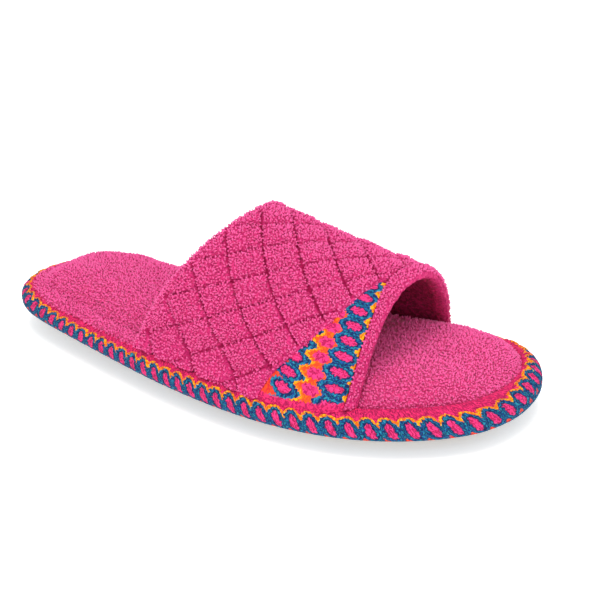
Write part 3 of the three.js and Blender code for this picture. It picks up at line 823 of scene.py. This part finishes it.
wall_at = np.linspace(0, 1, 16)
wall_key = np.linspace(0, 1, len(SOLE_WALL))
wall = np.stack([smooth_lookup(wall_key, SOLE_WALL[:, k], wall_at) for k in range(2)], 1)
rib = RIB_DEPTH * np.sin(2 * np.pi * walked / RIB_PITCH)
rings = []
for share_in, share_up in wall:
    ribbed = share_in * SOLE_TUCK - rib * math.sin(math.pi * share_up)
    flat = edge - edge_normal * np.asarray(ribbed).reshape(-1, 1)
    low = underside(flat[:, 0])
    rings.append(np.column_stack([flat, low + (seat(flat[:, 0]) - low) * share_up]))
shares = np.linspace(1, 0, 26)[:-1]
bottom, top = to_spine(rings[0], shares), to_spine(rings[-1], np.linspace(0, 1, 5)[1:])
for row in bottom:
    row[:, 2] = underside(row[:, 0])
    lift = np.clip(np.sin(2 * np.pi * row[:, 0] / GROOVE_PITCH) * 3 - 1.6, 0, 1)
    row[:, 2] += GROOVE_DEPTH * lift * (row is not bottom[0])
sole = np.stack([*bottom, *rings, *top])
print("outsole: %d rings of %d points" % sole.shape[:2])

# %% Outsole finish and piece
rubber = Finish("moulded_rubber", 0.75)
speck = rubber.noise(1.2, 3.0)
cloudy = rubber.noise(22, 2.0)
rubber_share = ramp(speck * 0.4 + cloudy * 0.6, 0.35, 0.65)
rubber.colour(rubber.mix(rubber_share, RUBBER_DEEP, RUBBER_LIGHT))
rubber.bump((speck, 0.12))
mesh = grid_mesh("outsole_unit", sole.transpose(1, 0, 2), True, False)
finish_piece("outsole_unit", mesh, rubber.material, "outsole", weld=WELD)

# %% [markdown]
# ## Footbed
# A padded terry insole that fills the ring of the tape. Its crown falls steeply at every edge. Along the
# rear half the terry bulges out over the tape's band, so its edge moves outwards there, and a little less
# round the heel's tip. Slow lumps of the foam and small clumps of the pile are added along the normals. A
# cloth simulation would give the same bulge, but less surely and with less to learn from.

# %% Footbed surface
FOOTBED_INSET = BINDING_DEPTH + GAP
PAD_EDGE_DROP = 2.7
PAD_TAPER = 5.6
PAD_SWELL = 0.7
SIDE_POWER, END_POWER = 5.0, 8
BULGE_OUT, BULGE_UP, BULGE_FROM, BULGE_RUN = 4.8, 1.6, 130, 40
TIP_BACK, TIP_DOWN, TIP_RUN = 2.9, 0.6, 34
EDGE_LIFT, EDGE_ROUND = 0.4, 1.1
PILE_DEPTH = 0.25


def footbed_top(x, y):
    """Rim height less the edge drop, plus the crown: one minus a high power of the way across, times one
    minus a high power of the way along."""
    lateral, medial = half_edges(x, FOOTBED_INSET)
    across = np.minimum(1, np.abs(2 * (y - lateral) / np.maximum(medial - lateral, 1) - 1))
    along = np.minimum(1, np.abs((2 * x - LENGTH) / (LENGTH - 2 * FOOTBED_INSET)))
    return rim(x) - PAD_EDGE_DROP + (CROWN + PAD_SWELL) * (1 - across**SIDE_POWER) * (1 - along**END_POWER)


edge, edge_normal, walked, girth_round = ring(300)
heelward = ramp(BULGE_FROM - edge[:, :1], 0.0, BULGE_RUN)
heel_tip = np.clip((TIP_RUN - edge[:, :1]) / TIP_RUN, 0, 1)
pad_edge = edge - edge_normal * (FOOTBED_INSET - BULGE_OUT * heelward + TIP_BACK * heel_tip)
pad_foot = edge - edge_normal * (FOOTBED_INSET + PAD_TAPER)
foot_ring = np.column_stack([pad_foot, seat(pad_foot[:, 0]) + GAP])
edge_z = rim(pad_edge[:, 0]) - PAD_EDGE_DROP + EDGE_LIFT
edge_z += BULGE_UP * heelward[:, 0] - TIP_DOWN * heel_tip[:, 0]
edge_ring = np.column_stack([pad_edge, edge_z])
bottom = to_spine(foot_ring, np.linspace(1, 0, 5)[:-1])
sides = [foot_ring + (edge_ring - foot_ring) * t for t in (0, 0.5, 0.85, 1.0)]
tops = []
for row in to_spine(edge_ring, np.linspace(0, 1, 58)[1:] ** 1.15):
    soft_edge = np.linalg.norm(row[:, :2] - edge_ring[:, :2], axis=1)
    rounded = edge_z + EDGE_ROUND * np.sqrt(np.clip(soft_edge, 0, 3))
    row[:, 2] = np.maximum(footbed_top(row[:, 0], row[:, 1]), rounded)
    tops.append(row)
pad = np.stack([*bottom, *sides, *tops])
normals = unit_normals(pad.transpose(1, 0, 2), True, False).transpose(1, 0, 2)
normals *= np.sign(normals[-10, :, 2].mean())
pile = PILE_DEPTH * lumps(pad, 24, 3) + PILE_DEPTH * lumps(pad, 3.6, 4)
pile[: len(bottom) + 2] = 0
pad += normals * pile[..., None]
print("footbed: crown %.1f mm above the floor" % pad[..., 2].max())

# %% Footbed piece
mesh = grid_mesh("terry_insole", pad.transpose(1, 0, 2), True, False)
ground = Finish("terry_ground_footbed", 0.95, sheen=0.2)
ground.colour(terry_ground(ground))
insole = finish_piece("terry_insole", mesh, ground.material, "footbed", weld=WELD)

# %% [markdown]
# ## Footbed loops
# Feet are scattered by area: each cell of the pad's grid is as likely as it is large, so the pile is equally
# dense everywhere. Deep under the vamp three out of four are left out. The loops at the toe are made a
# little lighter than those at the heel: painted light, for the light that falls on the open toe.

# %% Footbed loops
LOOP_PITCH = 1.08
UNDER_VAMP = (132, 196)
UNDER_VAMP_SHARE = 0.25
# Loops from this station on are lightened as painted light on the open toe.
TOE_FROM, TOE_PAINTED_LIGHT = 131, 0.3
top_rows = pad[len(bottom) + 3:].transpose(1, 0, 2)
top_normals = normals[len(bottom) + 3:].transpose(1, 0, 2)
cells = np.linalg.norm(np.cross(np.diff(top_rows, axis=0)[:, :-1], np.diff(top_rows, axis=1)[:-1]), axis=-1)
rng = np.random.default_rng(21)
wanted = int(cells.sum() / LOOP_PITCH**2)
marks = (np.arange(wanted) + rng.uniform(0, 1, wanted)) * cells.sum() / wanted
pick = np.minimum(np.searchsorted(np.cumsum(cells.ravel()), marks), cells.size - 1)
row, column = np.divmod(pick, cells.shape[1])
u, v = rng.uniform(0, 1, (2, wanted, 1))
feet = top_rows[row, column] * (1 - u) * (1 - v) + top_rows[row + 1, column] * u * (1 - v)
feet += top_rows[row, column + 1] * (1 - u) * v + top_rows[row + 1, column + 1] * u * v
foot_normals = top_normals[row, column]
covered = (feet[:, 0] > UNDER_VAMP[0]) & (feet[:, 0] < UNDER_VAMP[1])
keep = ~covered | (rng.uniform(0, 1, wanted) < UNDER_VAMP_SHARE)
at_toe = feet[:, 0] >= TOE_FROM
for name, part, lighter in (("heel", ~at_toe, 0.0), ("toe", at_toe, TOE_PAINTED_LIGHT)):
    used = keep & part
    terry_loops("insole_loops_" + name, feet[used], foot_normals[used], 31, lighter)

# %% [markdown]
# ## Vamp surface
# The vamp is an arch over the foot. At each share from the rear edge to the toe edge an arch is worked out
# from its two feet and its crest, as a rounded arch whose fullness differs on the two sides, and is then
# measured along its own length. So a pair of numbers, the share along and the share of the girth, names one
# point of the cloth, which is what a pattern cutter would chalk. A subdivided box could be pulled to the
# same shape by hand, but then no cloth line on it would have a known place.

# %% Vamp surface
# lateral foot, medial foot, crest station (shares of LENGTH), crest y (WIDTH), crest (INSTEP_HEIGHT),
# lateral, medial and crown fullness, lean
VAMP_REAR = np.array([0.371, 0.397, 0.524, 0.003, 1.000, 2.52, 2.43, 2.69, 1.35])
VAMP_TOE = np.array([0.822, 0.768, 0.827, 0.000, 0.805, 2.15, 2.22, 1.00, 0.89])
CREST_DIP = 1.5
ARCH_FINENESS = 361


def arch_table(along_steps, girth_steps):
    """Grid of vamp points by share along and share of girth. Width of each arch is a power of the cosine,
    height a power of the sine, and the station leans from the foot to the crest by a power of height."""
    s = np.linspace(0, 1, along_steps)[:, None]
    turn = np.linspace(0, np.pi, ARCH_FINENESS)[None, :]
    lat_foot, med_foot, crest_x, crest_y, crest, lat_full, med_full, crown, lean = (
        VAMP_REAR[k] + (VAMP_TOE[k] - VAMP_REAR[k]) * s for k in range(9))
    lateral = turn < np.pi / 2
    wide = np.abs(np.cos(turn)) ** (2 / np.where(lateral, lat_full, med_full))
    high = np.clip(np.sin(turn), 0, 1) ** (2 / crown)
    foot_x = LENGTH * np.where(lateral, lat_foot, med_foot)
    lateral_y, medial_y = half_edges(foot_x, 0)
    foot_y = np.where(lateral, lateral_y + VAMP_INSET, medial_y - VAMP_INSET)
    foot_z = rim(foot_x) + GAP
    x = foot_x + (crest_x * LENGTH - foot_x) * high**lean
    y = crest_y * WIDTH + (foot_y - crest_y * WIDTH) * wide
    z = foot_z + (crest * INSTEP_HEIGHT - foot_z) * high - 4 * s * (1 - s) * CREST_DIP * np.sin(turn)
    fine = np.stack([x, y, z], -1)
    steps = np.linalg.norm(np.diff(fine, axis=1), axis=-1)
    walked = np.concatenate([np.zeros((along_steps, 1)), np.cumsum(steps, 1)], 1)
    table = np.empty((along_steps, girth_steps, 3))
    for row in range(along_steps):
        goals = np.linspace(0, walked[row, -1], girth_steps)
        table[row] = np.stack([np.interp(goals, walked[row], fine[row, :, k]) for k in range(3)], 1)
    return table, walked[:, -1]


ARCHES, GIRTHS = arch_table(241, 321)
CREST = ARCHES.shape[1] // 2
ARCH_NORMALS = unit_normals(ARCHES)
ARCH_NORMALS *= np.sign(ARCH_NORMALS[len(ARCHES) // 2, CREST, 2])
LENGTHS = np.linalg.norm(ARCHES[-1] - ARCHES[0], axis=-1)
print("vamp: girth %.0f to %.0f mm, length %.0f at the side, %.0f at the crest"
      % (GIRTHS[0], GIRTHS[-1], LENGTHS[0], LENGTHS[CREST]))


def sample(table, along, girth):
    """The table read between its points, by shares along and of girth."""
    last_row, last_column = table.shape[0] - 1, table.shape[1] - 1
    a, g = np.clip(along, 0, 1) * last_row, np.clip(girth, 0, 1) * last_column
    i, j = np.minimum(a.astype(int), last_row - 1), np.minimum(g.astype(int), last_column - 1)
    u, v = (a - i)[..., None], (g - j)[..., None]
    near = table[i, j] * (1 - v) + table[i, j + 1] * v
    far = table[i + 1, j] * (1 - v) + table[i + 1, j + 1] * v
    return near * (1 - u) + far * u


ABOVE_PAD = 0.35


def vamp_layer(along, girth, depth):
    """A point under the outer surface by a depth in mm, kept above the footbed."""
    p = sample(ARCHES, along, girth) - sample(ARCH_NORMALS, along, girth) * np.asarray(depth)[..., None]
    p[..., 2] = np.maximum(p[..., 2], footbed_top(p[..., 0], p[..., 1]) + ABOVE_PAD)
    return p


def girth_at(along):
    """Girth in mm at a share along, on an even taper."""
    return np.interp(along, [0, 1], [GIRTHS[0], GIRTHS[-1]])


def length_at(girth):
    """Length in mm from the rear edge to the toe edge at a share of girth."""
    return np.interp(girth, np.linspace(0, 1, len(LENGTHS)), LENGTHS)


# %% Foot of the vamp
# share along, outward move and reach up the wall in mm, on the lateral side
FOOT_FLARE = np.array([
    (0.00, 3.2, 5.5), (0.45, 3.4, 5.5), (0.62, 4.8, 6.5), (0.90, 4.6, 8.0), (0.965, 2.6, 6.5),
    (1.00, 0.6, 5.0)])
MEDIAL_FLARE, MEDIAL_REACH, MEDIAL_END = 3.2, 5.5, 0.9
TAPE_FALL = 0.09


def foot_flare(along, girth):
    """Move of each point that lays the foot over the tape: outwards along the level part of the normal, and
    down by a share of the square of that, as the tape's edge falls away. It fades up the wall as a bell."""
    foot_mm = np.minimum(girth, 1 - girth) * girth_at(along)
    out, reach = (smooth_lookup(FOOT_FLARE[:, 0], FOOT_FLARE[:, k], along) for k in (1, 2))
    out = np.where(girth < 0.5, out, MEDIAL_FLARE * np.clip((MEDIAL_END - along) / 0.1, 0, 1))
    reach = np.where(girth < 0.5, reach, MEDIAL_REACH)
    move = sample(ARCH_NORMALS, along, girth) * np.array([1, 1, 0]) * out[..., None]
    move[..., 2] = -TAPE_FALL * out**2
    return move * np.exp(-(foot_mm / reach) ** 2)[..., None]


foot_line = foot_flare(np.linspace(0, 1, 11), np.zeros(11))
print("foot laid out by %.1f mm at most" % np.linalg.norm(foot_line[:, :2], axis=1).max())

# %% Panel and hem edges
# share of girth from the lateral foot, share along
PANEL_EDGE = np.array([
    (0.000, 0.642), (0.062, 0.662), (0.112, 0.700), (0.162, 0.736), (0.250, 0.796), (0.325, 0.836),
    (0.388, 0.866), (0.430, 0.895)])
HEM_EDGE = np.array([
    (0.000, 0.962), (0.162, 0.957), (0.312, 0.942), (0.430, 0.910), (0.600, 0.912), (1.000, 0.940)])
KNIT_TIP_GIRTH = 0.425


def panel_edge(girth):
    """Share along where the quilted panel ends on the insert's side."""
    return smooth_lookup(PANEL_EDGE[:, 0], PANEL_EDGE[:, 1], girth)


def hem_edge(girth):
    """Share along where the plain hem begins."""
    return smooth_lookup(HEM_EDGE[:, 0], HEM_EDGE[:, 1], girth)


print("insert: %.1f mm deep at the foot" % ((hem_edge(0.0) - panel_edge(0.0)) * length_at(0.0)))

# %% [markdown]
# ## Quilted upper
# The upper is one shell with a real wall: the quilted panel, its rolled rear edge, the recess for the knit
# insert and the plain rolled hem. The quilting is two families of nearly straight lines across the cloth.
# Each line is a narrow trough with a crimson thread in it, deepened as painted shade, and the cloth swells
# between troughs, more so in the middle of a diamond. It could be carved or left to a bump map; as a formula
# of the cloth's own two numbers it is true relief, and it follows any change of the arch.

# %% Quilting
STEEP_LEAN, STEEP_FIRST, STEEP_STEP = 0.53, 0.067, 0.117
FLAT_LEAN, FLAT_FIRST, FLAT_STEP = -0.50, 0.020, 0.128
LINE_SLANT = 0.86
FOLD_SHARE = 0.035
STEEP_TROUGH, STEEP_WIDE = 1.5, 1.0
FLAT_TROUGH, FLAT_WIDE = 0.9, 0.9
SWELL, SWELL_STEEP, SWELL_FLAT = 1.2, 3.0, 3.5


def quilt(along, girth):
    """Distances in mm to the nearest line of each family, as (steep, flat): what is left over whole counts,
    times the girth, times the cosine of the line's slant."""
    out = []
    for lean, first, step in ((STEEP_LEAN, STEEP_FIRST, STEEP_STEP), (FLAT_LEAN, FLAT_FIRST, FLAT_STEP)):
        count = (girth + lean * along - first) / step
        gap = np.abs(count - np.round(count)) * step
        out.append(gap * girth_at(along) * LINE_SLANT)
    return out


def quilt_height(along, girth):
    """Swelling in mm above the troughs, which are bells; gone near the rear fold."""
    steep, flat = quilt(along, girth)
    fold = np.clip((along - FOLD_SHARE) / 0.03, 0, 1)
    trough = STEEP_TROUGH * np.exp(-(steep / STEEP_WIDE) ** 2)
    trough = trough + FLAT_TROUGH * np.exp(-(flat / FLAT_WIDE) ** 2)
    swell = SWELL * (1 - np.exp(-steep / SWELL_STEEP)) * (1 - np.exp(-flat / SWELL_FLAT))
    return fold * (swell - trough)


chart = quilt_height(np.linspace(0, 1, 81)[:, None], np.linspace(0, 1, 121)[None, :])
print("quilting: %.2f to %.2f mm" % (chart.min(), chart.max()))

# %% Upper strips
# Along each line from the rear fold to the toe the surface is a row of strips, each with its share along
# and its depth in mm: rear fold, panel, rolled edge, drop into the recess, recess floor, rise to the hem,
# hem, toe fold.
INSERT_DEPTH = 0.5
EDGE_STEP = 0.1
ROLL_DEPTH = 1.4
HEM_DEPTH = 1.0
girths = np.unique(np.concatenate([
    np.linspace(0, 1, 196), [KNIT_TIP_GIRTH - 0.0015, KNIT_TIP_GIRTH + 0.0015]]))[:, None]
rear_edge = np.where(girths < KNIT_TIP_GIRTH, panel_edge(girths), hem_edge(girths) - 0.008)
front_edge = hem_edge(girths)
metric = length_at(girths)
recess = np.where(girths < KNIT_TIP_GIRTH, KNIT_WALL + INSERT_DEPTH + GAP, 1.5)
bend = np.linspace(0, np.pi / 2, 7)[None, :]
half_wall, half_hem = VAMP_WALL / 2, HEM_WALL / 2
strips = []
strips.append((half_wall * (1 - np.cos(bend)) / metric, half_wall * (1 - np.sin(bend)) + 0 * girths))
panel_t = np.linspace(0, 1, 112)[None, 1:]
start, stop = half_wall / metric, rear_edge - 1.8 / metric
strips.append((start + (stop - start) * panel_t, 0 * girths + 0 * panel_t))
roll = np.linspace(0, np.pi / 2, 6)[None, 1:]
strips.append((stop + 1.7 / metric * np.sin(roll), 1.3 * (1 - np.cos(roll)) + 0 * girths))
drop = np.array([[0.0, 0.5, 1.0]])
strips.append((rear_edge - EDGE_STEP / metric * (1 - drop), ROLL_DEPTH + (recess - ROLL_DEPTH) * drop))
gap_t = np.linspace(0, 1, 7)[None, 1:-1]
strips.append((rear_edge + (front_edge - rear_edge) * gap_t, recess + 0 * gap_t))
strips.append((front_edge + EDGE_STEP / metric * drop, recess + (HEM_DEPTH - recess) * drop))
hem_t = np.linspace(0, 1, 12)[None, 1:]
hem_start, hem_stop = front_edge + EDGE_STEP / metric, 1 - half_hem / metric
hem_depth = HEM_DEPTH - 1.9 * np.sin(np.pi * np.minimum(hem_t, 0.5)) + 0.99 * np.maximum(hem_t - 0.5, 0)
strips.append((hem_start + (hem_stop - hem_start) * hem_t, hem_depth + 0 * girths))
end = np.linspace(np.pi / 2, 0, 8)[None, 1:]
last_depth = hem_depth[..., -1:]
strips.append((1 - half_hem / metric * (1 - np.cos(end)),
               last_depth + (half_hem - last_depth) * (1 - np.sin(end)) + 0 * girths))
along_out = np.concatenate([strip[0] for strip in strips], 1)
depth_out = np.concatenate([strip[1] for strip in strips], 1)
print("upper: %d lines of %d points" % along_out.shape)

# %% Upper surfaces
girth_out = girths + 0 * along_out
panel_part = (along_out <= stop + 1e-9) & (along_out > 0)
height = quilt_height(along_out, girths)
height = np.where(panel_part, height * np.clip((stop - along_out) * metric / 3, 0, 1), 0)
outer = vamp_layer(along_out, girth_out, depth_out - height)
outer += sample(ARCH_NORMALS, along_out, girth_out) * (0.28 * lumps(outer, 3.4, 7))[..., None]
outer += foot_flare(along_out, girth_out)
count = along_out.shape[1]
t = np.linspace(0, 1, count)[None, :]
along_in = (half_wall + (metric - half_wall - half_hem) * t) / metric
depth_in = VAMP_WALL + (HEM_WALL - VAMP_WALL) * np.clip((t - 0.9) * 10, 0, 1)
edge_round = np.minimum(t * metric, (1 - t) * metric)
depth_in = depth_in - half_wall * 0.5 * np.clip(1 - edge_round / 2.0, 0, 1) ** 2
inner = vamp_layer(along_in, girths + 0 * along_in, depth_in + 0 * girths)
inner -= sample(ARCH_NORMALS, along_in, girths + 0 * along_in) * (0.2 * lumps(inner, 3.4, 8))[..., None]
print("crest of the upper: %.1f mm" % outer[..., 2].max())

# %% Upper piece
shell = np.concatenate([outer, inner[:, ::-1]], 1)
cap_from, cap_to = (np.concatenate([(a + b) / 2, ((a + b) / 2)[::-1]]) for a, b in (
    (outer[0], inner[0]), (outer[-1], inner[-1])))
shell = np.concatenate([cap_from[None], shell, cap_to[None]], 0)
inside = np.concatenate([np.zeros(count), np.ones(count)])[None, :] * np.ones((len(shell), 1))
steep, flat = quilt(along_out, girths)
# Mask of the quilting lines: thread colour deepened as painted shade in the troughs.
stitched = np.maximum(np.exp(-((steep / 0.95) ** 2)), 0.85 * np.exp(-((flat / 0.85) ** 2))) * panel_part
stitched = np.concatenate([stitched, 0 * stitched], 1)
stitched = np.concatenate([stitched[:1], stitched, stitched[-1:]], 0)
mesh = grid_mesh("quilted_upper", shell, False, True, tints={"inside": inside, "stitched": stitched})
upper = Finish("terry_upper_shell", 0.95)
outside_colour = terry_ground(upper)
# Thread and painted shade along the quilting lines.
outside_colour = upper.mix(ramp(upper.attribute("stitched"), 0.35, 0.90), outside_colour, SEAM_THREAD_AND_SHADE)
inside_share = ramp(upper.noise(1.3, 2.0, 1.0), 0.4, 0.6)
# Inside of the shell: the lining darkened as painted shade.
shaded_inside_colour = upper.mix(inside_share, SHADED_LINING_DEEP, SHADED_LINING_LIGHT)
upper.colour(upper.mix(upper.attribute("inside"), outside_colour, shaded_inside_colour))
finish_piece("quilted_upper", mesh, upper.material, "upper", weld=WELD)

# %% [markdown]
# ## Loops on the upper
# The feet are a jittered chart of the cloth, so that the loops are as even as woven ones, without lying in
# rows. The quilting lines, the recess and the seams stay bare. Each foot is then found on the relief, by
# reading the upper's own grid between its points.

# %% Upper loops
LINE_CLEAR_STEEP, LINE_CLEAR_FLAT = 0.66, 0.46
FOLD_LIGHTER = 0.7
rows_n, columns_n = int(GIRTHS.mean() / LOOP_PITCH), int(LENGTHS.mean() / LOOP_PITCH)
rng = np.random.default_rng(22)
chart_girth = (np.arange(rows_n)[:, None] + rng.uniform(0.05, 0.95, (rows_n, columns_n))) / rows_n
chart_along = (np.arange(columns_n)[None, :] + rng.uniform(0.05, 0.95, (rows_n, columns_n))) / columns_n
chart_girth, chart_along = chart_girth.ravel(), chart_along.ravel()
steep, flat = quilt(chart_along, chart_girth)
fold = chart_along < FOLD_SHARE
clear_of_lines = fold | ((steep > LINE_CLEAR_STEEP) & (flat > LINE_CLEAR_FLAT))
chart_length, hem_line = length_at(chart_girth), hem_edge(chart_girth)
panel_stop = np.where(chart_girth < KNIT_TIP_GIRTH, panel_edge(chart_girth), hem_line - 0.012)
on_panel = chart_along < panel_stop - 0.2 / chart_length
on_hem = (chart_along > hem_line + 0.8 / chart_length) & (chart_along < 1 - 0.5 / chart_length)
keep = (on_panel & clear_of_lines) | on_hem
print("upper loops: %d of %d places kept" % (keep.sum(), keep.size))

# %% Upper loop pieces
row = np.clip(np.interp(chart_girth, girths[:, 0], np.arange(len(girths))), 0, len(girths) - 1.001)
near = along_out[np.round(row).astype(int)]
column = np.array([np.interp(a, stations, np.arange(count)) for a, stations in zip(chart_along, near)])
i, j = row.astype(int), np.minimum(column.astype(int), count - 2)
u, v = (row - i)[:, None], (column - j)[:, None]
feet = (outer[i, j] * (1 - u) + outer[i + 1, j] * u) * (1 - v)
feet += (outer[i, j + 1] * (1 - u) + outer[i + 1, j + 1] * u) * v
outer_normals = unit_normals(outer)
outer_normals *= np.sign(outer_normals[len(girths) // 2, count // 2, 2])
foot_normals = outer_normals[i, j]
for name, part in (("lateral", chart_girth < 0.5), ("medial", chart_girth >= 0.5)):
    used = keep & part
    lighter = FOLD_LIGHTER * fold[used]
    terry_loops("upper_loops_" + name, feet[used], foot_normals[used], 32, lighter)

# %% [markdown]
# ## Knit insert
# A triangle of the same family of knit, set into the recess. Its columns run along the hem: small orange
# triangles, a chain of slanted ovals in blue, a column of pink hexagons in red-orange, a wavy yellow thread,
# a second chain, and a red-orange cord curling round it at the rear corner. The columns fan out a little
# towards the sole, and a ribbed pink strip ends them there. As with the tape, the same formulas raise the
# mesh and colour it.

# %% Insert pattern
KNIT_PITCH = 6.6
FIRST_COLUMN, HEXAGON_COLUMN, SECOND_COLUMN = 5.7, 14.0, 24.2
FAN_AT, FAN, FAN_HEIGHT = 5.8, 0.3, 30.0
FOOT_TUCK, TUCK_HEIGHT = 0.12, 12.0
FOOT_SHIFT, ROW_START, ROW_SLANT = 1.8, 7.3, 0.22
OVAL_SLANT = 0.10
WAVE_AT, WAVE_SWING = 18.2, 2.0
RED_FROM, RED_SWING = 11.0, 1.4
CORD_FROM = 25.0
STRIP_HEIGHT, STRIP_RIB = 2.9, 1.8


def insert_pattern(back, up_mm):
    """back: mm behind the hem; up_mm: mm up from the sole. The fan is undone first, then each column is
    a formula of the repeat count and the distance from the column's middle: ovals are the length of two
    shares, hexagons the larger of two slopes, waves an S-shaped rise to and fro."""
    fan = 1.0 + FAN * maths("MAXIMUM", 1.0 - up_mm / FAN_HEIGHT, 0.0)
    fan = fan - FOOT_TUCK * maths("MAXIMUM", 1.0 - up_mm / TUCK_HEIGHT, 0.0)
    level = FAN_AT + (back - FAN_AT) / fan
    drawn = up_mm - FOOT_SHIFT * (1.0 - ramp(up_mm, 4.0, TUCK_HEIGHT))
    count = (drawn - ROW_SLANT * (level - FAN_AT) - ROW_START) / KNIT_PITCH
    beside = (fract(count + 0.5) - 0.5) * KNIT_PITCH
    midway = (fract(count) - 0.5) * KNIT_PITCH
    at_first, at_second = level - FIRST_COLUMN, level - SECOND_COLUMN
    first = length_of(at_first / 3.7, (beside - at_first * OVAL_SLANT) / 1.65)
    second = length_of(at_second / 3.4, (beside - at_second * OVAL_SLANT) / 1.9)
    slope = size_of(level - HEXAGON_COLUMN) / 3.9 + size_of(midway) / 4.8
    hexagon = maths("MAXIMUM", size_of(midway) / 2.2, slope)
    wave = WAVE_AT + WAVE_SWING * (1.0 - ramp(size_of(midway), 0.0, 3.3) * 2.0)
    thread = 1.0 - ramp(size_of(level - wave), 0.55, 0.85)
    triangle = 1.0 - ramp(level + size_of(midway) * 0.9, 2.0, 2.5)
    red_edge = RED_FROM - RED_SWING * (1.0 - ramp(size_of(midway), 0.0, 3.0) * 2.0)
    red = ramp(level - red_edge, -0.2, 0.2) * (1.0 - ramp(level - wave, -0.1, 0.1))
    corner = ramp(second, 1.62, 1.74) * ramp(level, CORD_FROM, CORD_FROM + 0.8)
    return first, second, hexagon, thread, triangle, red, corner, level, beside


def insert_relief(back, up_mm):
    """Height in mm: domed ovals, a ring round each, raised hexagons, thread and triangles."""
    first, second, hexagon, thread, triangle, red, corner, level, beside = insert_pattern(back, up_mm)
    dome = 0.4 * np.sqrt(np.clip(1 - first**2, 0, 1)) + 0.4 * np.sqrt(np.clip(1 - second**2, 0, 1))
    rings = sum(0.4 * np.clip(1 - ((e - 1.42) / 0.4) ** 2, 0, 1) for e in (first, second)) * (1 - red)
    return dome + rings + 0.35 * np.clip(1.1 - hexagon, 0, 1) * red + 0.4 * thread + 0.2 * triangle


relief = insert_relief(np.linspace(0, 36, 73)[:, None], np.linspace(0, 60, 121)[None, :])
print("insert relief: %.2f to %.2f mm" % (relief.min(), relief.max()))

# %% Insert finish
insert = Finish("knit_insert", KNIT_ROUGHNESS)
back, up_mm = ragged(insert, *insert.cloth(), 1.0)
first, second, hexagon, thread, triangle, red, corner, level, beside = insert_pattern(back, up_mm)
both = maths("MINIMUM", first, second)
grain = insert.yarn(beside, level, 0.55, 1.8)
speck = insert.yarn(up_mm, level, 0.8, 0.8)
look = braid_colours(insert, both, (both - 1.45) * 2.2, beside, grain, speck)
warm = insert.mix(ramp(speck, 0.46, 0.64), YARN["red_orange"], YARN["orange"])
cord = insert.mix(ramp(grain * 0.5 + speck * 0.5, 0.40, 0.56), YARN["brick"], YARN["red_orange"])
pinks = insert.mix(ramp(grain * 0.7 + speck * 0.3, 0.40, 0.55), YARN["deep_pink"], YARN["pink"])
warm = insert.mix(1.0 - ramp(hexagon, 0.85, 1.0), warm, pinks)
look = insert.mix(red, look, warm)
look = insert.mix(corner, look, cord)
gold = insert.mix(ramp(speck, 0.42, 0.55), YARN["orange"], YARN["yellow"])
look = insert.mix(maths("MAXIMUM", thread, triangle), look, gold)
strip = 1.0 - ramp(up_mm, STRIP_HEIGHT, STRIP_HEIGHT + 0.5)
strip_ribs = maths("COSINE", back * (2 * math.pi / STRIP_RIB)) * 0.06
strip_share = ramp(strip_ribs + grain * 0.6 + speck * 0.4, 0.43, 0.56)
insert.colour(insert.mix(strip, look, insert.mix(strip_share, YARN["deep_pink"], YARN["band"])))
insert.bump((grain * 0.7 + speck * 0.3, KNIT_BUMP))
print("insert finish: %d nodes" % len(insert.tree.nodes))

# %% Insert surface
tip = KNIT_TIP_GIRTH - 0.010
girths = np.linspace(0, tip, 120)[:, None]
metric = length_at(girths)
t = np.linspace(0, 1, 90)[None, :]
rear = panel_edge(girths) - 0.2 / metric
front = hem_edge(girths) - 0.15 / metric
along_grid = rear + (front - rear) * t
girth_grid = girths + 0 * along_grid
arc = girth_grid * np.interp(along_grid, np.linspace(0, 1, len(GIRTHS)), GIRTHS)
back_mm = (front - along_grid) * metric
relief = insert_relief(back_mm, arc)
side = np.minimum(along_grid - rear, front - along_grid) * metric
relief = relief * np.clip(side / 1.5, 0, 1)
flare = foot_flare(along_grid, girth_grid)
top_face = vamp_layer(along_grid, girth_grid, INSERT_DEPTH - relief) + flare
low_face = vamp_layer(along_grid, girth_grid, INSERT_DEPTH + KNIT_WALL + 0 * relief) + flare
panel = np.concatenate([top_face, low_face[:, ::-1]], 1)
ends = [np.concatenate([(a + b) / 2, ((a + b) / 2)[::-1]])[None] for a, b in (
    (top_face[0], low_face[0]), (top_face[-1], low_face[-1]))]
panel = np.concatenate([ends[0], panel, ends[1]], 0)
cloth = np.stack([back_mm, arc], -1)
cloth = np.concatenate([cloth, cloth[:, ::-1]], 1)
cloth = np.concatenate([cloth[:1], cloth, cloth[-1:]], 0)
cloth = np.concatenate([cloth, cloth[:, :1]], 1)
mesh = grid_mesh("knit_corner", panel, False, True, cloth)
finish_piece("knit_corner", mesh, insert.material, "knit_insert", weld=WELD)
